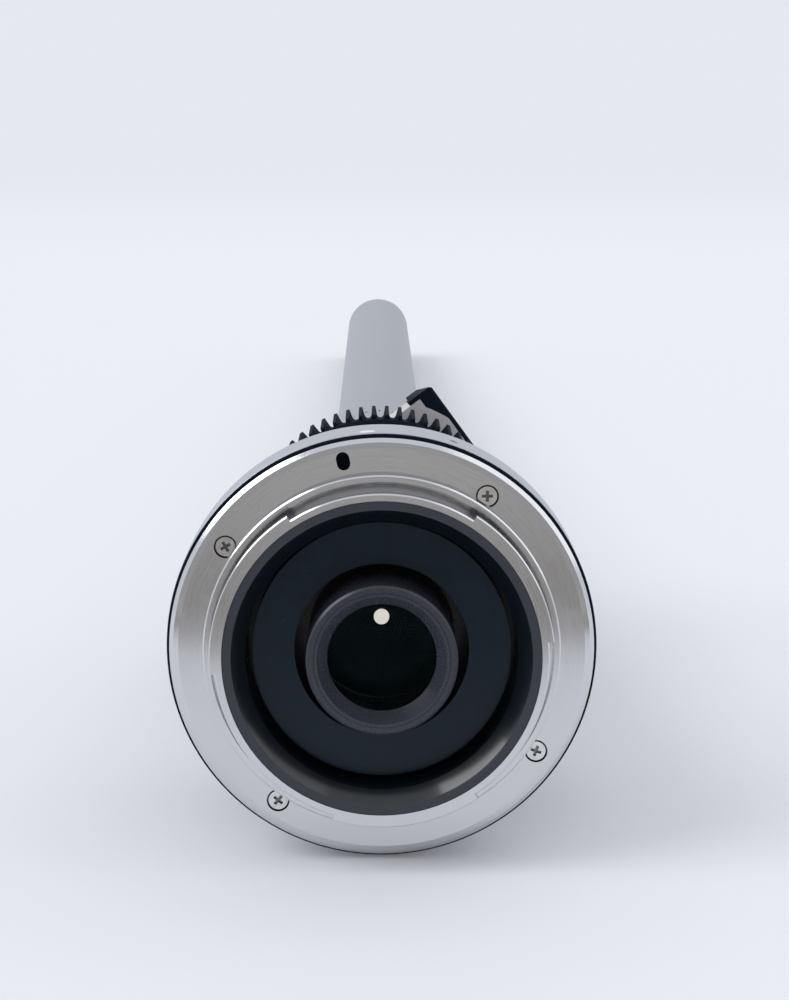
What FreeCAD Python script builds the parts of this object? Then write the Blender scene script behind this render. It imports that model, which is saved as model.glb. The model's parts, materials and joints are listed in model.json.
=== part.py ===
"""Probe lens: a long thin close-focus lens that ends in a ring of lights.

The lens axis runs along +Y. The origin is the middle of the mount's flange face, the claws of
the mount stand behind it at -Y, and the glass tip is far ahead at +Y. +Z is up. An angle about
the axis is counted clockwise from the top, as seen from behind the mount.
"""
import FreeCAD, Part
import math
import os

import Sketcher

doc = FreeCAD.newDocument("probe_lens")

# Sizes in millimetres and degrees, one cell each. A size with a formula follows those it names.
MOUNT_SIZES = [
    ("flange_radius", 29.0),
    ("flange_thickness", 1.6),
    ("flange_rim_width", 1.3),
    ("flange_rim_drop", 0.3),
    ("flange_bevel", 0.55),
    ("throat_radius", 21.5),
    ("spigot_length", 6.3),
    ("spigot_wall", 1.0),
    ("spigot_bevel", 0.2),
    ("neck_depth", 0.35),
    ("pilot_radius", 24.3),
    ("pilot_height", 1.8),
    ("pilot_width", 0.9),
    ("pilot_bevel", 0.2),
    ("pilot_groove_floor", 0.3),
    ("claw_height", 0.7),
    ("claw_thickness", 1.5),
    ("claw_bevel", 0.15),
    ("claw_right_start", 33.0),
    ("claw_right_span", 51.0),
    ("claw_bottom_start", 146.0),
    ("claw_bottom_span", 51.0),
    ("claw_left_start", 265.0),
    ("claw_left_span", 62.0),
    ("mount_screw_circle", 25.5),
    ("mount_screw_angle", 34.0),
    ("mount_screw_head_radius", 1.32),
    ("mount_screw_head_height", 0.6),
    ("mount_screw_shank_radius", 0.85),
    ("mount_screw_length", 5.6),
    ("mount_screw_sink", 0.75),
    ("mount_screw_recess_width", 0.42),
    ("mount_screw_recess_span", 1.5),
    ("mount_screw_recess_depth", 0.5),
    ("lock_slot_circle", 26.45),
    ("lock_slot_angle", -11.3),
    ("lock_slot_radius", 0.9),
    ("lock_slot_stretch", 0.7),
    ("shim_radius", 29.4),
    ("shim_thickness", 0.5),
]
REAR_SIZES = [
    ("rear_barrel_radius", 29.45),
    ("rear_barrel_length", 9.9),
    ("rear_barrel_bevel", 0.4),
    ("rear_barrel_throat_depth", 7.2),
    ("rear_shoulder_radius", 26.6),
    ("rear_shoulder_drop", 0.9),
    ("rear_nose_radius", 25.7),
    ("rear_nose_length", 5.2),
    ("index_dot_radius", 1.1),
    ("index_dot_depth", 0.35),
    ("index_dot_station", 4.6),
    ("index_dot_angle", -3.8),
    ("grub_hole_radius", 0.6),
    ("grub_hole_station", 6.2),
    ("grub_hole_angle", 19.7),
    ("grub_screw_length", 3.0),
    ("grub_key_radius", 0.28),
    ("grub_key_depth", 0.8),
    ("baffle_mouth_radius", 20.3),
    ("baffle_throat_radius", 18.4),
    ("baffle_mouth_depth", 2.0),
    ("baffle_recess", 0.1),
    ("baffle_floor_station", 5.0),
    ("baffle_floor_thickness", 3.2),
    ("baffle_disc_radius", 17.6),
    ("baffle_disc_wall", 1.2),
    ("baffle_hole_radius", 11.9),
    ("rear_cell_radius", 10.2),
    ("rear_cell_overhang", 7.0),
    ("rear_cell_bore", 9.2),
    ("rear_cell_bevel", 0.3),
    ("rear_cell_length", 25.0),
    ("rear_cell_lip", 1.0),
    ("rear_cell_flange_station", 12.0),
    ("rear_cell_flange_thickness", 3.0),
    ("rear_glass_opening", 7.35),
    ("rear_glass_depth", 2.4),
    ("rear_lens_thickness", 3.4),
    ("rear_lens_curve", 180.0),
    ("retainer_rim_width", 0.45),
    ("retainer_land", 0.35),
    ("cell_spacer_length", 5.5),
    ("cell_spacer_wall", 0.9),
    ("field_lens_thickness", 4.6),
    ("field_lens_curve", 220.0),
]
BARREL_SIZES = [
    ("main_spigot_radius", 20.0),
    ("main_spigot_overlap", 8.6),
    ("aperture_seat_step", 2.4),
    ("aperture_seat_radius", "=main_spigot_radius + aperture_seat_step"),
    ("aperture_ring_wall", 3.2),
    ("aperture_ring_radius", "=aperture_seat_radius + aperture_ring_wall"),
    ("aperture_ring_length", 16.2),
    ("aperture_ring_bevel", 0.5),
    ("aperture_scale_length", 5.0),
    ("aperture_rib_count", 60.0),
    ("aperture_rib_gap", 1.15),
    ("aperture_rib_depth", 0.5),
    ("aperture_rib_margin", 1.2),
    ("aperture_turn", 45.0),
    ("aperture_stops", 6.0),
    ("end_gap", 0.3),
    ("main_collar_step", 2.4),
    ("main_collar_radius", "=aperture_seat_radius + main_collar_step"),
    ("main_collar_length", 2.5),
    ("main_cone_rear_drop", 0.6),
    ("main_cone_rear_radius", "=main_collar_radius - main_cone_rear_drop"),
    ("main_cone_front_radius", 20.4),
    ("main_cone_length", 40.0),
    ("main_neck_radius", 20.1),
    ("main_neck_length", 2.6),
    ("main_bore_radius", 16.2),
    ("focus_seat_radius", 18.0),
    ("running_clearance", 0.05),
    ("fixed_clearance", 0.05),
]
IRIS_SIZES = [
    ("iris_spacer_wall", 1.25),
    ("iris_spacer_length", 4.0),
    ("iris_cup_wall", 0.95),
    ("iris_cup_floor", 1.5),
    ("iris_cup_opening", 7.8),
    ("iris_cup_length", 9.5),
    ("iris_blade_thickness", 0.15),
    ("iris_blade_step", 0.35),
    ("iris_blade_floor_gap", 0.5),
    ("iris_blade_inner", 7.7),
    ("iris_blade_outer", 10.7),
    ("iris_blade_span", 100.0),
    ("iris_pivot_circle", 12.4),
    ("iris_lug_radius", 1.1),
    ("iris_pin_radius", 0.4),
    ("iris_drive_pin_circle", 13.4),
    ("iris_drive_pin_angle", 13.0),
    ("iris_blade_turn", 28.0),
    ("iris_slot_clearance", 0.08),
    ("iris_drive_gap", 0.4),
    ("iris_drive_thickness", 1.6),
    ("iris_drive_opening", 8.2),
    ("iris_retainer_thickness", 1.4),
    ("aperture_pin_radius", 0.8),
    ("aperture_pin_slack", 0.2),
    ("click_ball_radius", 0.8),
    ("click_ball_inset", 3.0),
    ("click_spring_wire", 0.15),
    ("click_spring_pitch", 0.6),
    ("click_spring_length", 2.4),
]
FOCUS_SIZES = [
    ("focus_ring_length", 17.0),
    ("focus_root_radius", 20.2),
    ("focus_tip_radius", 22.2),
    ("focus_tooth_count", 62.0),
    ("focus_gap_floor", 0.5),
    ("focus_gap_waist", 1.1),
    ("focus_gap_mouth", 1.85),
    ("focus_gap_round", 0.35),
    ("focus_tip_bevel", 0.2),
    ("focus_face_radius", 20.95),
    ("focus_face_step", 0.5),
    ("focus_face_drop", 0.35),
    ("focus_shoulder_length", 0.9),
    ("focus_scale_length", 4.0),
    ("focus_scale_radius", 19.5),
    ("focus_travel", 8.0),
    ("focus_turn", 150.0),
    ("focus_pin_radius", 1.0),
    ("focus_pin_station", 2.6),
    ("focus_pin_slack", 0.12),
    ("focus_groove_depth", 1.2),
    ("focus_sleeve_length", 14.2),
    ("focus_sleeve_wall", 1.5),
    ("focus_sleeve_front_gap", 1.8),
    ("focus_web_offset", 5.2),
    ("focus_web_thickness", 3.0),
    ("focus_hub_radius", 10.6),
    ("focus_hub_length", 11.0),
    ("focus_lens_radius", 9.0),
    ("focus_hub_lip", 0.9),
    ("focus_front_lens_thickness", 4.6),
    ("focus_rear_lens_thickness", 3.2),
    ("focus_lens_curve", 30.0),
    ("focus_lens_gap", 0.5),
    ("focus_clip_thickness", 1.2),
    ("focus_clip_width", 0.9),
    ("focus_nut_radius", 18.9),
    ("focus_nut_length", 2.0),
    ("focus_nut_bevel", 0.3),
]
FRONT_SIZES = [
    ("front_cone_radius", 17.4),
    ("front_cone_angle", 6.5),
    ("front_cone_end_radius", 11.6),
    ("front_nose_length", 20.0),
    ("front_spigot_length", 6.4),
    ("front_bore_radius", 14.6),
    ("front_bore_length", 15.6),
    ("front_bore_step", 0.6),
    ("front_bore_end_radius", 9.0),
    ("front_bore_end_margin", 4.0),
    ("probe_seat_margin", 2.0),
    ("wire_hole_radius", 0.8),
    ("wire_hole_offset", 26.0),
    ("relay_carrier_offset", 4.8),
    ("relay_carrier_thickness", 4.0),
    ("relay_radius", 6.5),
    ("relay_wall", 0.7),
    ("relay_rear_offset", 1.8),
    ("relay_lens_length", 12.0),
    ("relay_lens_curve", 24.0),
    ("relay_lens_rear_inset", 14.0),
    ("relay_lens_pitch", 108.0),
    ("relay_spacer_wall", 0.6),
    ("relay_spacer_gap", 0.6),
    ("collar_radius", 10.6),
    ("collar_length", 12.0),
    ("collar_bevel", 0.4),
    ("collar_groove_count", 48.0),
    ("collar_groove_width", 0.7),
    ("collar_groove_depth", 0.3),
    ("collar_groove_margin", 2.0),
    ("probe_seat_radius", 9.2),
    ("probe_radius", 9.5),
    ("probe_wall", 0.9),
    ("probe_front", 464.0),
]
CONTROL_SIZES = [
    ("control_angle", 54.0),
    ("control_floor_gap", 0.2),
    ("control_length", 37.0),
    ("control_rear_half_width", 14.9),
    ("control_front_half_width", 12.0),
    ("control_base_depth", 9.0),
    ("control_base_inset", 0.8),
    ("control_plate_radius", 22.5),
    ("control_plate_height", 3.3),
    ("control_plate_thickness", 1.6),
    ("control_skirt_drop", 0.8),
    ("control_parting_height", 1.2),
    ("control_cover_height", 2.9),
    ("control_cover_bevel", 0.4),
    ("control_roof", 0.9),
    ("control_cavity_half_width", 9.3),
    ("control_cavity_rear", 3.0),
    ("control_cavity_length", 28.0),
    ("control_cavity_floor", 0.3),
    ("control_screw_inset", 3.2),
    ("control_screw_head_radius", 1.1),
    ("control_screw_head_height", 0.8),
    ("control_screw_sink", 0.15),
    ("control_screw_shank_radius", 0.6),
    ("control_screw_length", 4.2),
    ("board_thickness", 0.8),
    ("board_margin", 0.3),
    ("socket_station", 12.0),
    ("socket_width", 8.94),
    ("socket_height", 3.26),
    ("socket_depth", 5.4),
    ("socket_rise", 1.0),
    ("socket_wall", 0.3),
    ("socket_inset", 0.25),
    ("socket_clearance", 0.15),
    ("socket_tongue_thickness", 0.7),
    ("socket_tongue_width", 6.6),
    ("button_station", 23.0),
    ("button_radius", 3.3),
    ("button_flange_radius", 3.9),
    ("button_flange_thickness", 0.7),
    ("button_clearance", 0.15),
    ("button_proud", 0.6),
    ("button_travel", 0.5),
    ("button_roof_gap", 0.2),
    ("button_bevel", 0.3),
    ("switch_width", 3.6),
    ("switch_height", 0.65),
    ("lamp_station", 30.5),
    ("lamp_radius", 0.8),
]
TIP_SIZES = [
    ("tip_length", 18.0),
    ("tip_bevel", 0.4),
    ("tip_spigot_length", 9.0),
    ("tip_relay_depth", 6.0),
    ("tip_web_thickness", 4.0),
    ("tip_recess_radius", 8.7),
    ("tip_window_seat_radius", 8.95),
    ("tip_window_front_inset", 1.7),
    ("window_thickness", 1.8),
    ("seal_offset", 2.0),
    ("seal_radius", 0.42),
    ("seal_groove_width", 1.4),
    ("seal_groove_depth", 0.86),
    ("front_cell_radius", 4.8),
    ("front_cell_wall", 0.8),
    ("front_cell_length", 15.5),
    ("front_cell_end_inset", 0.5),
    ("front_cell_lip", 0.5),
    ("front_cell_lip_width", 0.6),
    ("front_lens_thickness", 4.6),
    ("front_lens_curve", 9.0),
    ("led_board_thickness", 1.0),
    ("led_count", 10.0),
    ("led_circle", 6.8),
    ("led_width", 1.6),
    ("led_height", 0.8),
    ("wire_radius", 0.42),
    ("wire_circle", 7.05),
    ("wire_bend_circle", 10.2),
    ("wire_slope_length", 25.0),
    ("wire_bend_radius", 3.0),
]
ALL_SIZES = (MOUNT_SIZES + REAR_SIZES + BARREL_SIZES + IRIS_SIZES + FOCUS_SIZES
             + FRONT_SIZES + CONTROL_SIZES + TIP_SIZES)
SCREW_COUNT = 4
GRUB_COUNT = 3
BLADE_COUNT = 6
PIN_COUNT = 3
RELAY_NAMES = ["relay_lens_rear", "relay_lens_middle", "relay_lens_front"]
OVERLAP = 0.4
FULL_TURN = 360.0
ALONG_Y = FreeCAD.Rotation(FreeCAD.Vector(1, 0, 0), -90)
AXIS_Y = FreeCAD.Vector(0, 1, 0)

sheet = doc.addObject("Spreadsheet::Sheet", "Sizes")
for row, (alias, number) in enumerate(ALL_SIZES, start=1):
    sheet.set("A%d" % row, alias)
    sheet.set("B%d" % row, str(number))
    sheet.setAlias("B%d" % row, alias)
doc.recompute()


class Size:
    """A size: the expression that binds it to the sheet, and its present value."""

    def __init__(self, text, value):
        self.text = text
        self.value = value

    def __add__(self, other):
        other = as_size(other)
        return Size("(%s + %s)" % (self.text, other.text), self.value + other.value)

    def __sub__(self, other):
        other = as_size(other)
        return Size("(%s - %s)" % (self.text, other.text), self.value - other.value)

    def __mul__(self, other):
        other = as_size(other)
        return Size("(%s * %s)" % (self.text, other.text), self.value * other.value)

    def __truediv__(self, other):
        other = as_size(other)
        return Size("(%s / %s)" % (self.text, other.text), self.value / other.value)

    def __radd__(self, other):
        return as_size(other) + self

    def __rsub__(self, other):
        return as_size(other) - self

    def __rmul__(self, other):
        return as_size(other) * self

    def __neg__(self):
        return Size("(-%s)" % self.text, -self.value)


def as_size(number):
    """A plain number as a size with no cell."""
    if isinstance(number, Size):
        return number
    return Size("%.6f" % number, float(number))


def sine(angle):
    """The sine of an angle in degrees."""
    angle = as_size(angle)
    return Size("sin(%s * 1 deg)" % angle.text, math.sin(math.radians(angle.value)))


def cosine(angle):
    """The cosine of an angle in degrees."""
    angle = as_size(angle)
    return Size("cos(%s * 1 deg)" % angle.text, math.cos(math.radians(angle.value)))


def tangent(angle):
    """The tangent of an angle in degrees."""
    angle = as_size(angle)
    return Size("tan(%s * 1 deg)" % angle.text, math.tan(math.radians(angle.value)))


class SheetSizes:
    """Every cell of the sheet as a size, by its alias."""

    def __getattr__(self, alias):
        return Size("Sizes." + alias, float(sheet.get(alias)))


lens = SheetSizes()


def bind(item, prop, size):
    """Set a property of an object and bind it to the sheet."""
    size = as_size(size)
    setattr(item, prop, size.value)
    item.setExpression(prop, size.text)


def place(item, x, y, zed, rotation=None):
    """Place an object, with its position bound to the sheet."""
    spot = [as_size(x), as_size(y), as_size(zed)]
    turn = rotation if rotation is not None else FreeCAD.Rotation()
    item.Placement = FreeCAD.Placement(FreeCAD.Vector(*[s.value for s in spot]), turn)
    for letter, size in zip("xyz", spot):
        item.setExpression("Placement.Base." + letter, size.text)
    return item


def about_axis(angle):
    """The rotation about the lens axis that carries the top to this angle."""
    return FreeCAD.Rotation(AXIS_Y, as_size(angle).value)


def origin_part(body, role):
    """One of the planes or axes at the origin of a body."""
    return [part for part in body.Origin.OriginFeatures if part.Role == role][0]


def pin_corner(sketch, edge, kind, size):
    """Bind one coordinate of the corner where an edge starts."""
    size = as_size(size)
    if size.value == 0:
        axis = -2 if kind == "DistanceX" else -1
        sketch.addConstraint(Sketcher.Constraint("PointOnObject", edge, 1, axis))
        return
    if size.value > 0:
        ends = (-1, 1, edge, 1)
    else:
        ends = (edge, 1, -1, 1)
        size = -size
    index = sketch.addConstraint(Sketcher.Constraint(kind, *ends, size.value))
    sketch.setExpression("Constraints[%d]" % index, size.text)


def outline_sketch(body, name, plane, corners):
    """A closed outline of straight edges on a plane of the body, every corner bound."""
    sketch = body.newObject("Sketcher::SketchObject", name)
    sketch.AttachmentSupport = [(origin_part(body, plane), "")]
    sketch.MapMode = "FlatFace"
    spots = [FreeCAD.Vector(as_size(a).value, as_size(b).value, 0) for a, b in corners]
    count = len(spots)
    edges = [Part.LineSegment(spots[i], spots[(i + 1) % count]) for i in range(count)]
    sketch.addGeometry(edges, False)
    joins = [Sketcher.Constraint("Coincident", i, 2, (i + 1) % count, 1) for i in range(count)]
    sketch.addConstraint(joins)
    for edge, (a, b) in enumerate(corners):
        pin_corner(sketch, edge, "DistanceX", a)
        pin_corner(sketch, edge, "DistanceY", b)
    return sketch


def rectangle(low_x, high_x, low_y, high_y):
    """The corners of a rectangle."""
    return [(low_x, low_y), (high_x, low_y), (high_x, high_y), (low_x, high_y)]


def turned(name, corners, angle=FULL_TURN):
    """A body turned about the lens axis from corners given as radius and station."""
    body = doc.addObject("PartDesign::Body", name)
    sketch = outline_sketch(body, name + "_outline", "XY_Plane", corners)
    turn = body.newObject("PartDesign::Revolution", name + "_turn")
    turn.Profile = sketch
    turn.ReferenceAxis = (sketch, ["V_Axis"])
    bind(turn, "Angle", angle)
    sketch.Visibility = False
    body.Tip = turn
    return body


def ring(name, inner, outer, start, length):
    """A plain turned ring."""
    return turned(name, rectangle(inner, outer, start, start + length))


def slab(name, corners, low, height):
    """A body padded upwards from a flat outline in its own frame."""
    body = doc.addObject("PartDesign::Body", name)
    sketch = outline_sketch(body, name + "_outline", "XY_Plane", corners)
    set_offset(sketch, low)
    pad = body.newObject("PartDesign::Pad", name + "_pad")
    pad.Profile = sketch
    bind(pad, "Length", height)
    body.Tip = pad
    return body


def set_offset(sketch, distance):
    """Move a sketch along the normal of its plane."""
    distance = as_size(distance)
    sketch.AttachmentOffset = FreeCAD.Placement(
        FreeCAD.Vector(0, 0, distance.value), FreeCAD.Rotation())
    sketch.setExpression("AttachmentOffset.Base.z", distance.text)


def sink(body, name, corners, low, height):
    """A pocket cut upwards from a flat outline in the body's own frame."""
    sketch = outline_sketch(body, name + "_outline", "XY_Plane", corners)
    set_offset(sketch, low)
    pocket = body.newObject("PartDesign::Pocket", name)
    pocket.Profile = sketch
    pocket.Reversed = True
    bind(pocket, "Length", height)
    body.Tip = pocket
    return pocket


def flutes(body, name, corners, start, length, count, angle=FULL_TURN):
    """Equal grooves along the lens axis, one outline repeated about the axis."""
    sketch = outline_sketch(body, name + "_outline", "XZ_Plane", corners)
    set_offset(sketch, -as_size(start))
    pocket = body.newObject("PartDesign::Pocket", name + "_first")
    pocket.Profile = sketch
    bind(pocket, "Length", length)
    repeat(body, name, pocket, count, angle)


def repeat(body, name, feature, count, angle=FULL_TURN):
    """Copies of a feature about the lens axis."""
    pattern = body.newObject("PartDesign::PolarPattern", name)
    pattern.Originals = [feature]
    pattern.Axis = (origin_part(body, "Y_Axis"), [""])
    bind(pattern, "Angle", angle)
    pattern.Occurrences = int(round(as_size(count).value))
    pattern.setExpression("Occurrences", as_size(count).text)
    body.Tip = pattern


def rod(name, radius, start, length, circle=0, angle=0):
    """A cylinder along the lens axis, standing on a circle about that axis."""
    solid = doc.addObject("Part::Cylinder", name)
    bind(solid, "Radius", radius)
    bind(solid, "Height", length)
    return place(solid, circle * sine(angle), start, circle * cosine(angle), ALONG_Y)


def spoke(name, radius, low, high, station, angle):
    """A cylinder square to the lens axis, between two radii at one angle."""
    solid = doc.addObject("Part::Cylinder", name)
    bind(solid, "Radius", radius)
    bind(solid, "Height", high - low)
    return place(solid, low * sine(angle), station, low * cosine(angle), about_axis(angle))


def arc_block(name, inner, outer, start, length, first_angle, span):
    """A stretch of a ring between two angles."""
    block = turned(name, rectangle(inner, outer, start, start + length), span)
    block.Placement = FreeCAD.Placement(FreeCAD.Vector(), about_axis(first_angle - 90))
    return block


def fuse(name, solids):
    """Solids joined into one."""
    joined = doc.addObject("Part::MultiFuse", name)
    joined.Shapes = solids
    return joined


def cut(name, base, tools):
    """A solid with other solids cut away."""
    tool = tools[0] if len(tools) == 1 else fuse(name + "_tools", tools)
    result = doc.addObject("Part::Cut", name)
    result.Base = base
    result.Tool = tool
    return result


def group(name, solids):
    """Separate equal solids kept as one sub-part."""
    bundle = doc.addObject("Part::Compound", name)
    bundle.Links = solids
    return bundle


def box(name, width, depth, height):
    """A block in its own frame."""
    block = doc.addObject("Part::Box", name)
    bind(block, "Length", width)
    bind(block, "Width", depth)
    bind(block, "Height", height)
    return block


def glass(name, radius, start, thickness, curve):
    """A lens element with two domed faces of the same curve."""
    blank = rod(name + "_blank", radius, start, thickness)
    domes = []
    for side, centre in (("rear", start + curve), ("front", start + thickness - curve)):
        dome = doc.addObject("Part::Sphere", "%s_%s_dome" % (name, side))
        bind(dome, "Radius", curve)
        place(dome, 0, centre, 0, ALONG_Y)
        domes.append(dome)
    element = doc.addObject("Part::MultiCommon", name)
    element.Shapes = [blank] + domes
    return element


sub_parts = {}


def keep(name, item):
    """Name a finished sub-part."""
    item.Label = name
    sub_parts[name] = item
    return item


# Stations along the axis that several pieces share
plate_front = lens.flange_thickness
shim_front = plate_front + lens.shim_thickness
rear_barrel_front = shim_front + lens.rear_barrel_length
nose_front = rear_barrel_front + lens.rear_nose_length
aperture_rear = nose_front + lens.end_gap
aperture_front = aperture_rear + lens.aperture_ring_length
collar_rear = aperture_front + lens.end_gap
cone_rear = collar_rear + lens.main_collar_length
cone_front = cone_rear + lens.main_cone_length
neck_front = cone_front + lens.main_neck_length
focus_rear = neck_front + lens.end_gap
focus_front = focus_rear + lens.focus_ring_length
nut_rear = focus_front + lens.end_gap
main_front = nut_rear + lens.focus_nut_length
cone_drop = lens.front_cone_radius - lens.front_cone_end_radius
front_end = main_front + cone_drop / tangent(lens.front_cone_angle)
nose_end = front_end + lens.front_nose_length
collar_end = nose_end + lens.collar_length
tip_end = lens.probe_front + lens.tip_length
cell_flange_front = lens.rear_cell_flange_station + lens.rear_cell_flange_thickness
iris_rear = cell_flange_front + lens.iris_spacer_length
blade_rear = iris_rear + lens.iris_cup_floor + lens.iris_blade_floor_gap
blade_stack = lens.iris_blade_step * (BLADE_COUNT - 1) + lens.iris_blade_thickness
drive_rear = blade_rear + blade_stack + lens.iris_drive_gap
drive_middle = drive_rear + lens.iris_drive_thickness / 2
core_radius = lens.main_bore_radius - lens.fixed_clearance
iris_bore = core_radius - lens.iris_cup_wall
aperture_pin_angle = 90.0


def make_mount():
    """The bayonet plate with its three claws, its screws and the shim behind it."""
    spigot_radius = lens.throat_radius + lens.spigot_wall
    land = lens.claw_thickness + lens.spigot_bevel
    neck = spigot_radius - lens.neck_depth
    pilot_inner = lens.pilot_radius - lens.pilot_width
    rim = lens.flange_radius - lens.flange_rim_width
    plate = turned("bayonet_plate", [
        (lens.throat_radius, -lens.spigot_length),
        (spigot_radius - lens.spigot_bevel, -lens.spigot_length),
        (spigot_radius, lens.spigot_bevel - lens.spigot_length),
        (spigot_radius, land - lens.spigot_length),
        (neck, land - lens.spigot_length),
        (neck, -lens.pilot_groove_floor),
        (pilot_inner, -lens.pilot_groove_floor),
        (pilot_inner, -lens.pilot_height),
        (lens.pilot_radius - lens.pilot_bevel, -lens.pilot_height),
        (lens.pilot_radius, lens.pilot_bevel - lens.pilot_height),
        (lens.pilot_radius, 0),
        (rim, 0),
        (lens.flange_radius - lens.flange_bevel, lens.flange_rim_drop),
        (lens.flange_radius, lens.flange_rim_drop + lens.flange_bevel),
        (lens.flange_radius, plate_front),
        (lens.throat_radius, plate_front),
    ])
    claws = []
    for side in ("right", "bottom", "left"):
        first = getattr(lens, "claw_%s_start" % side)
        claw = turned("claw_" + side, [
            (spigot_radius - OVERLAP, -lens.spigot_length),
            (spigot_radius + lens.claw_height - lens.claw_bevel, -lens.spigot_length),
            (spigot_radius + lens.claw_height, lens.claw_bevel - lens.spigot_length),
            (spigot_radius + lens.claw_height, lens.claw_thickness - lens.spigot_length),
            (spigot_radius - OVERLAP, lens.claw_thickness - lens.spigot_length),
        ], getattr(lens, "claw_%s_span" % side))
        claw.Placement = FreeCAD.Placement(FreeCAD.Vector(), about_axis(first - 90))
        claws.append(claw)
    clearance = lens.mount_screw_shank_radius + lens.fixed_clearance
    cutters = []
    for number, angle in enumerate(screw_angles()):
        cutters.append(rod("screw_hole_%d" % number, clearance, -OVERLAP,
                           plate_front + 2 * OVERLAP, lens.mount_screw_circle, angle))
        cutters.append(rod("screw_sink_%d" % number, lens.mount_screw_head_radius + 0.25, -1,
                           lens.mount_screw_sink + 1, lens.mount_screw_circle, angle))
    for side in (-1, 1):
        cutters.append(rod("lock_slot_end_%d" % (side + 1), lens.lock_slot_radius, -1,
                           plate_front + 1 + OVERLAP,
                           lens.lock_slot_circle + side * lens.lock_slot_stretch / 2, lens.lock_slot_angle))
    bridge = box("lock_slot_middle", 2 * lens.lock_slot_radius, plate_front + 1 + OVERLAP,
                 lens.lock_slot_stretch)
    low = lens.lock_slot_circle - lens.lock_slot_stretch / 2
    place(bridge, low * sine(lens.lock_slot_angle) - lens.lock_slot_radius * cosine(lens.lock_slot_angle), -1,
          low * cosine(lens.lock_slot_angle) + lens.lock_slot_radius * sine(lens.lock_slot_angle),
          about_axis(lens.lock_slot_angle))
    cutters.append(bridge)
    keep("mount_bayonet", cut("bayonet", fuse("bayonet_blank", [plate] + claws), cutters))

    screws = [make_mount_screw(number, angle) for number, angle in enumerate(screw_angles())]
    keep("mount_screws", group("screws_of_mount", screws))

    shim = ring("shim_ring", spigot_radius, lens.shim_radius, plate_front, lens.shim_thickness)
    holes = [rod("shim_hole_%d" % number, clearance, plate_front - OVERLAP, lens.shim_thickness
                 + 2 * OVERLAP, lens.mount_screw_circle, angle)
             for number, angle in enumerate(screw_angles())]
    keep("mount_shim", cut("shim", shim, holes))


def screw_angles():
    """The angles of the four mount screws."""
    return [lens.mount_screw_angle + FULL_TURN / SCREW_COUNT * number for number in range(SCREW_COUNT)]


def make_mount_screw(number, angle):
    """One cross-head screw of the mount, sunk just below the flange face."""
    head_rear = lens.mount_screw_sink - lens.mount_screw_head_height
    head = rod("screw_head_%d" % number, lens.mount_screw_head_radius, head_rear,
               lens.mount_screw_head_height, lens.mount_screw_circle, angle)
    shank = rod("screw_shank_%d" % number, lens.mount_screw_shank_radius, head_rear,
                lens.mount_screw_length, lens.mount_screw_circle, angle)
    slots = []
    for turn in (0, 90):
        arm = box("screw_slot_%d_%d" % (number, turn), lens.mount_screw_recess_span,
                  lens.mount_screw_recess_depth + 1, lens.mount_screw_recess_width)
        lean = FreeCAD.Rotation(AXIS_Y, turn + 20.0 * number)
        corner = lean.multVec(FreeCAD.Vector(-lens.mount_screw_recess_span.value / 2, 0,
                                             -lens.mount_screw_recess_width.value / 2))
        place(arm, lens.mount_screw_circle * sine(angle) + corner.x, head_rear - 1,
              lens.mount_screw_circle * cosine(angle) + corner.z, lean)
        slots.append(arm)
    return cut("mount_screw_%d" % number, fuse("screw_blank_%d" % number, [head, shank]), slots)


def grub_angles():
    """The angles of the grub screws in the rear barrel."""
    return [lens.grub_hole_angle + FULL_TURN / GRUB_COUNT * number for number in range(GRUB_COUNT)]


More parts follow.
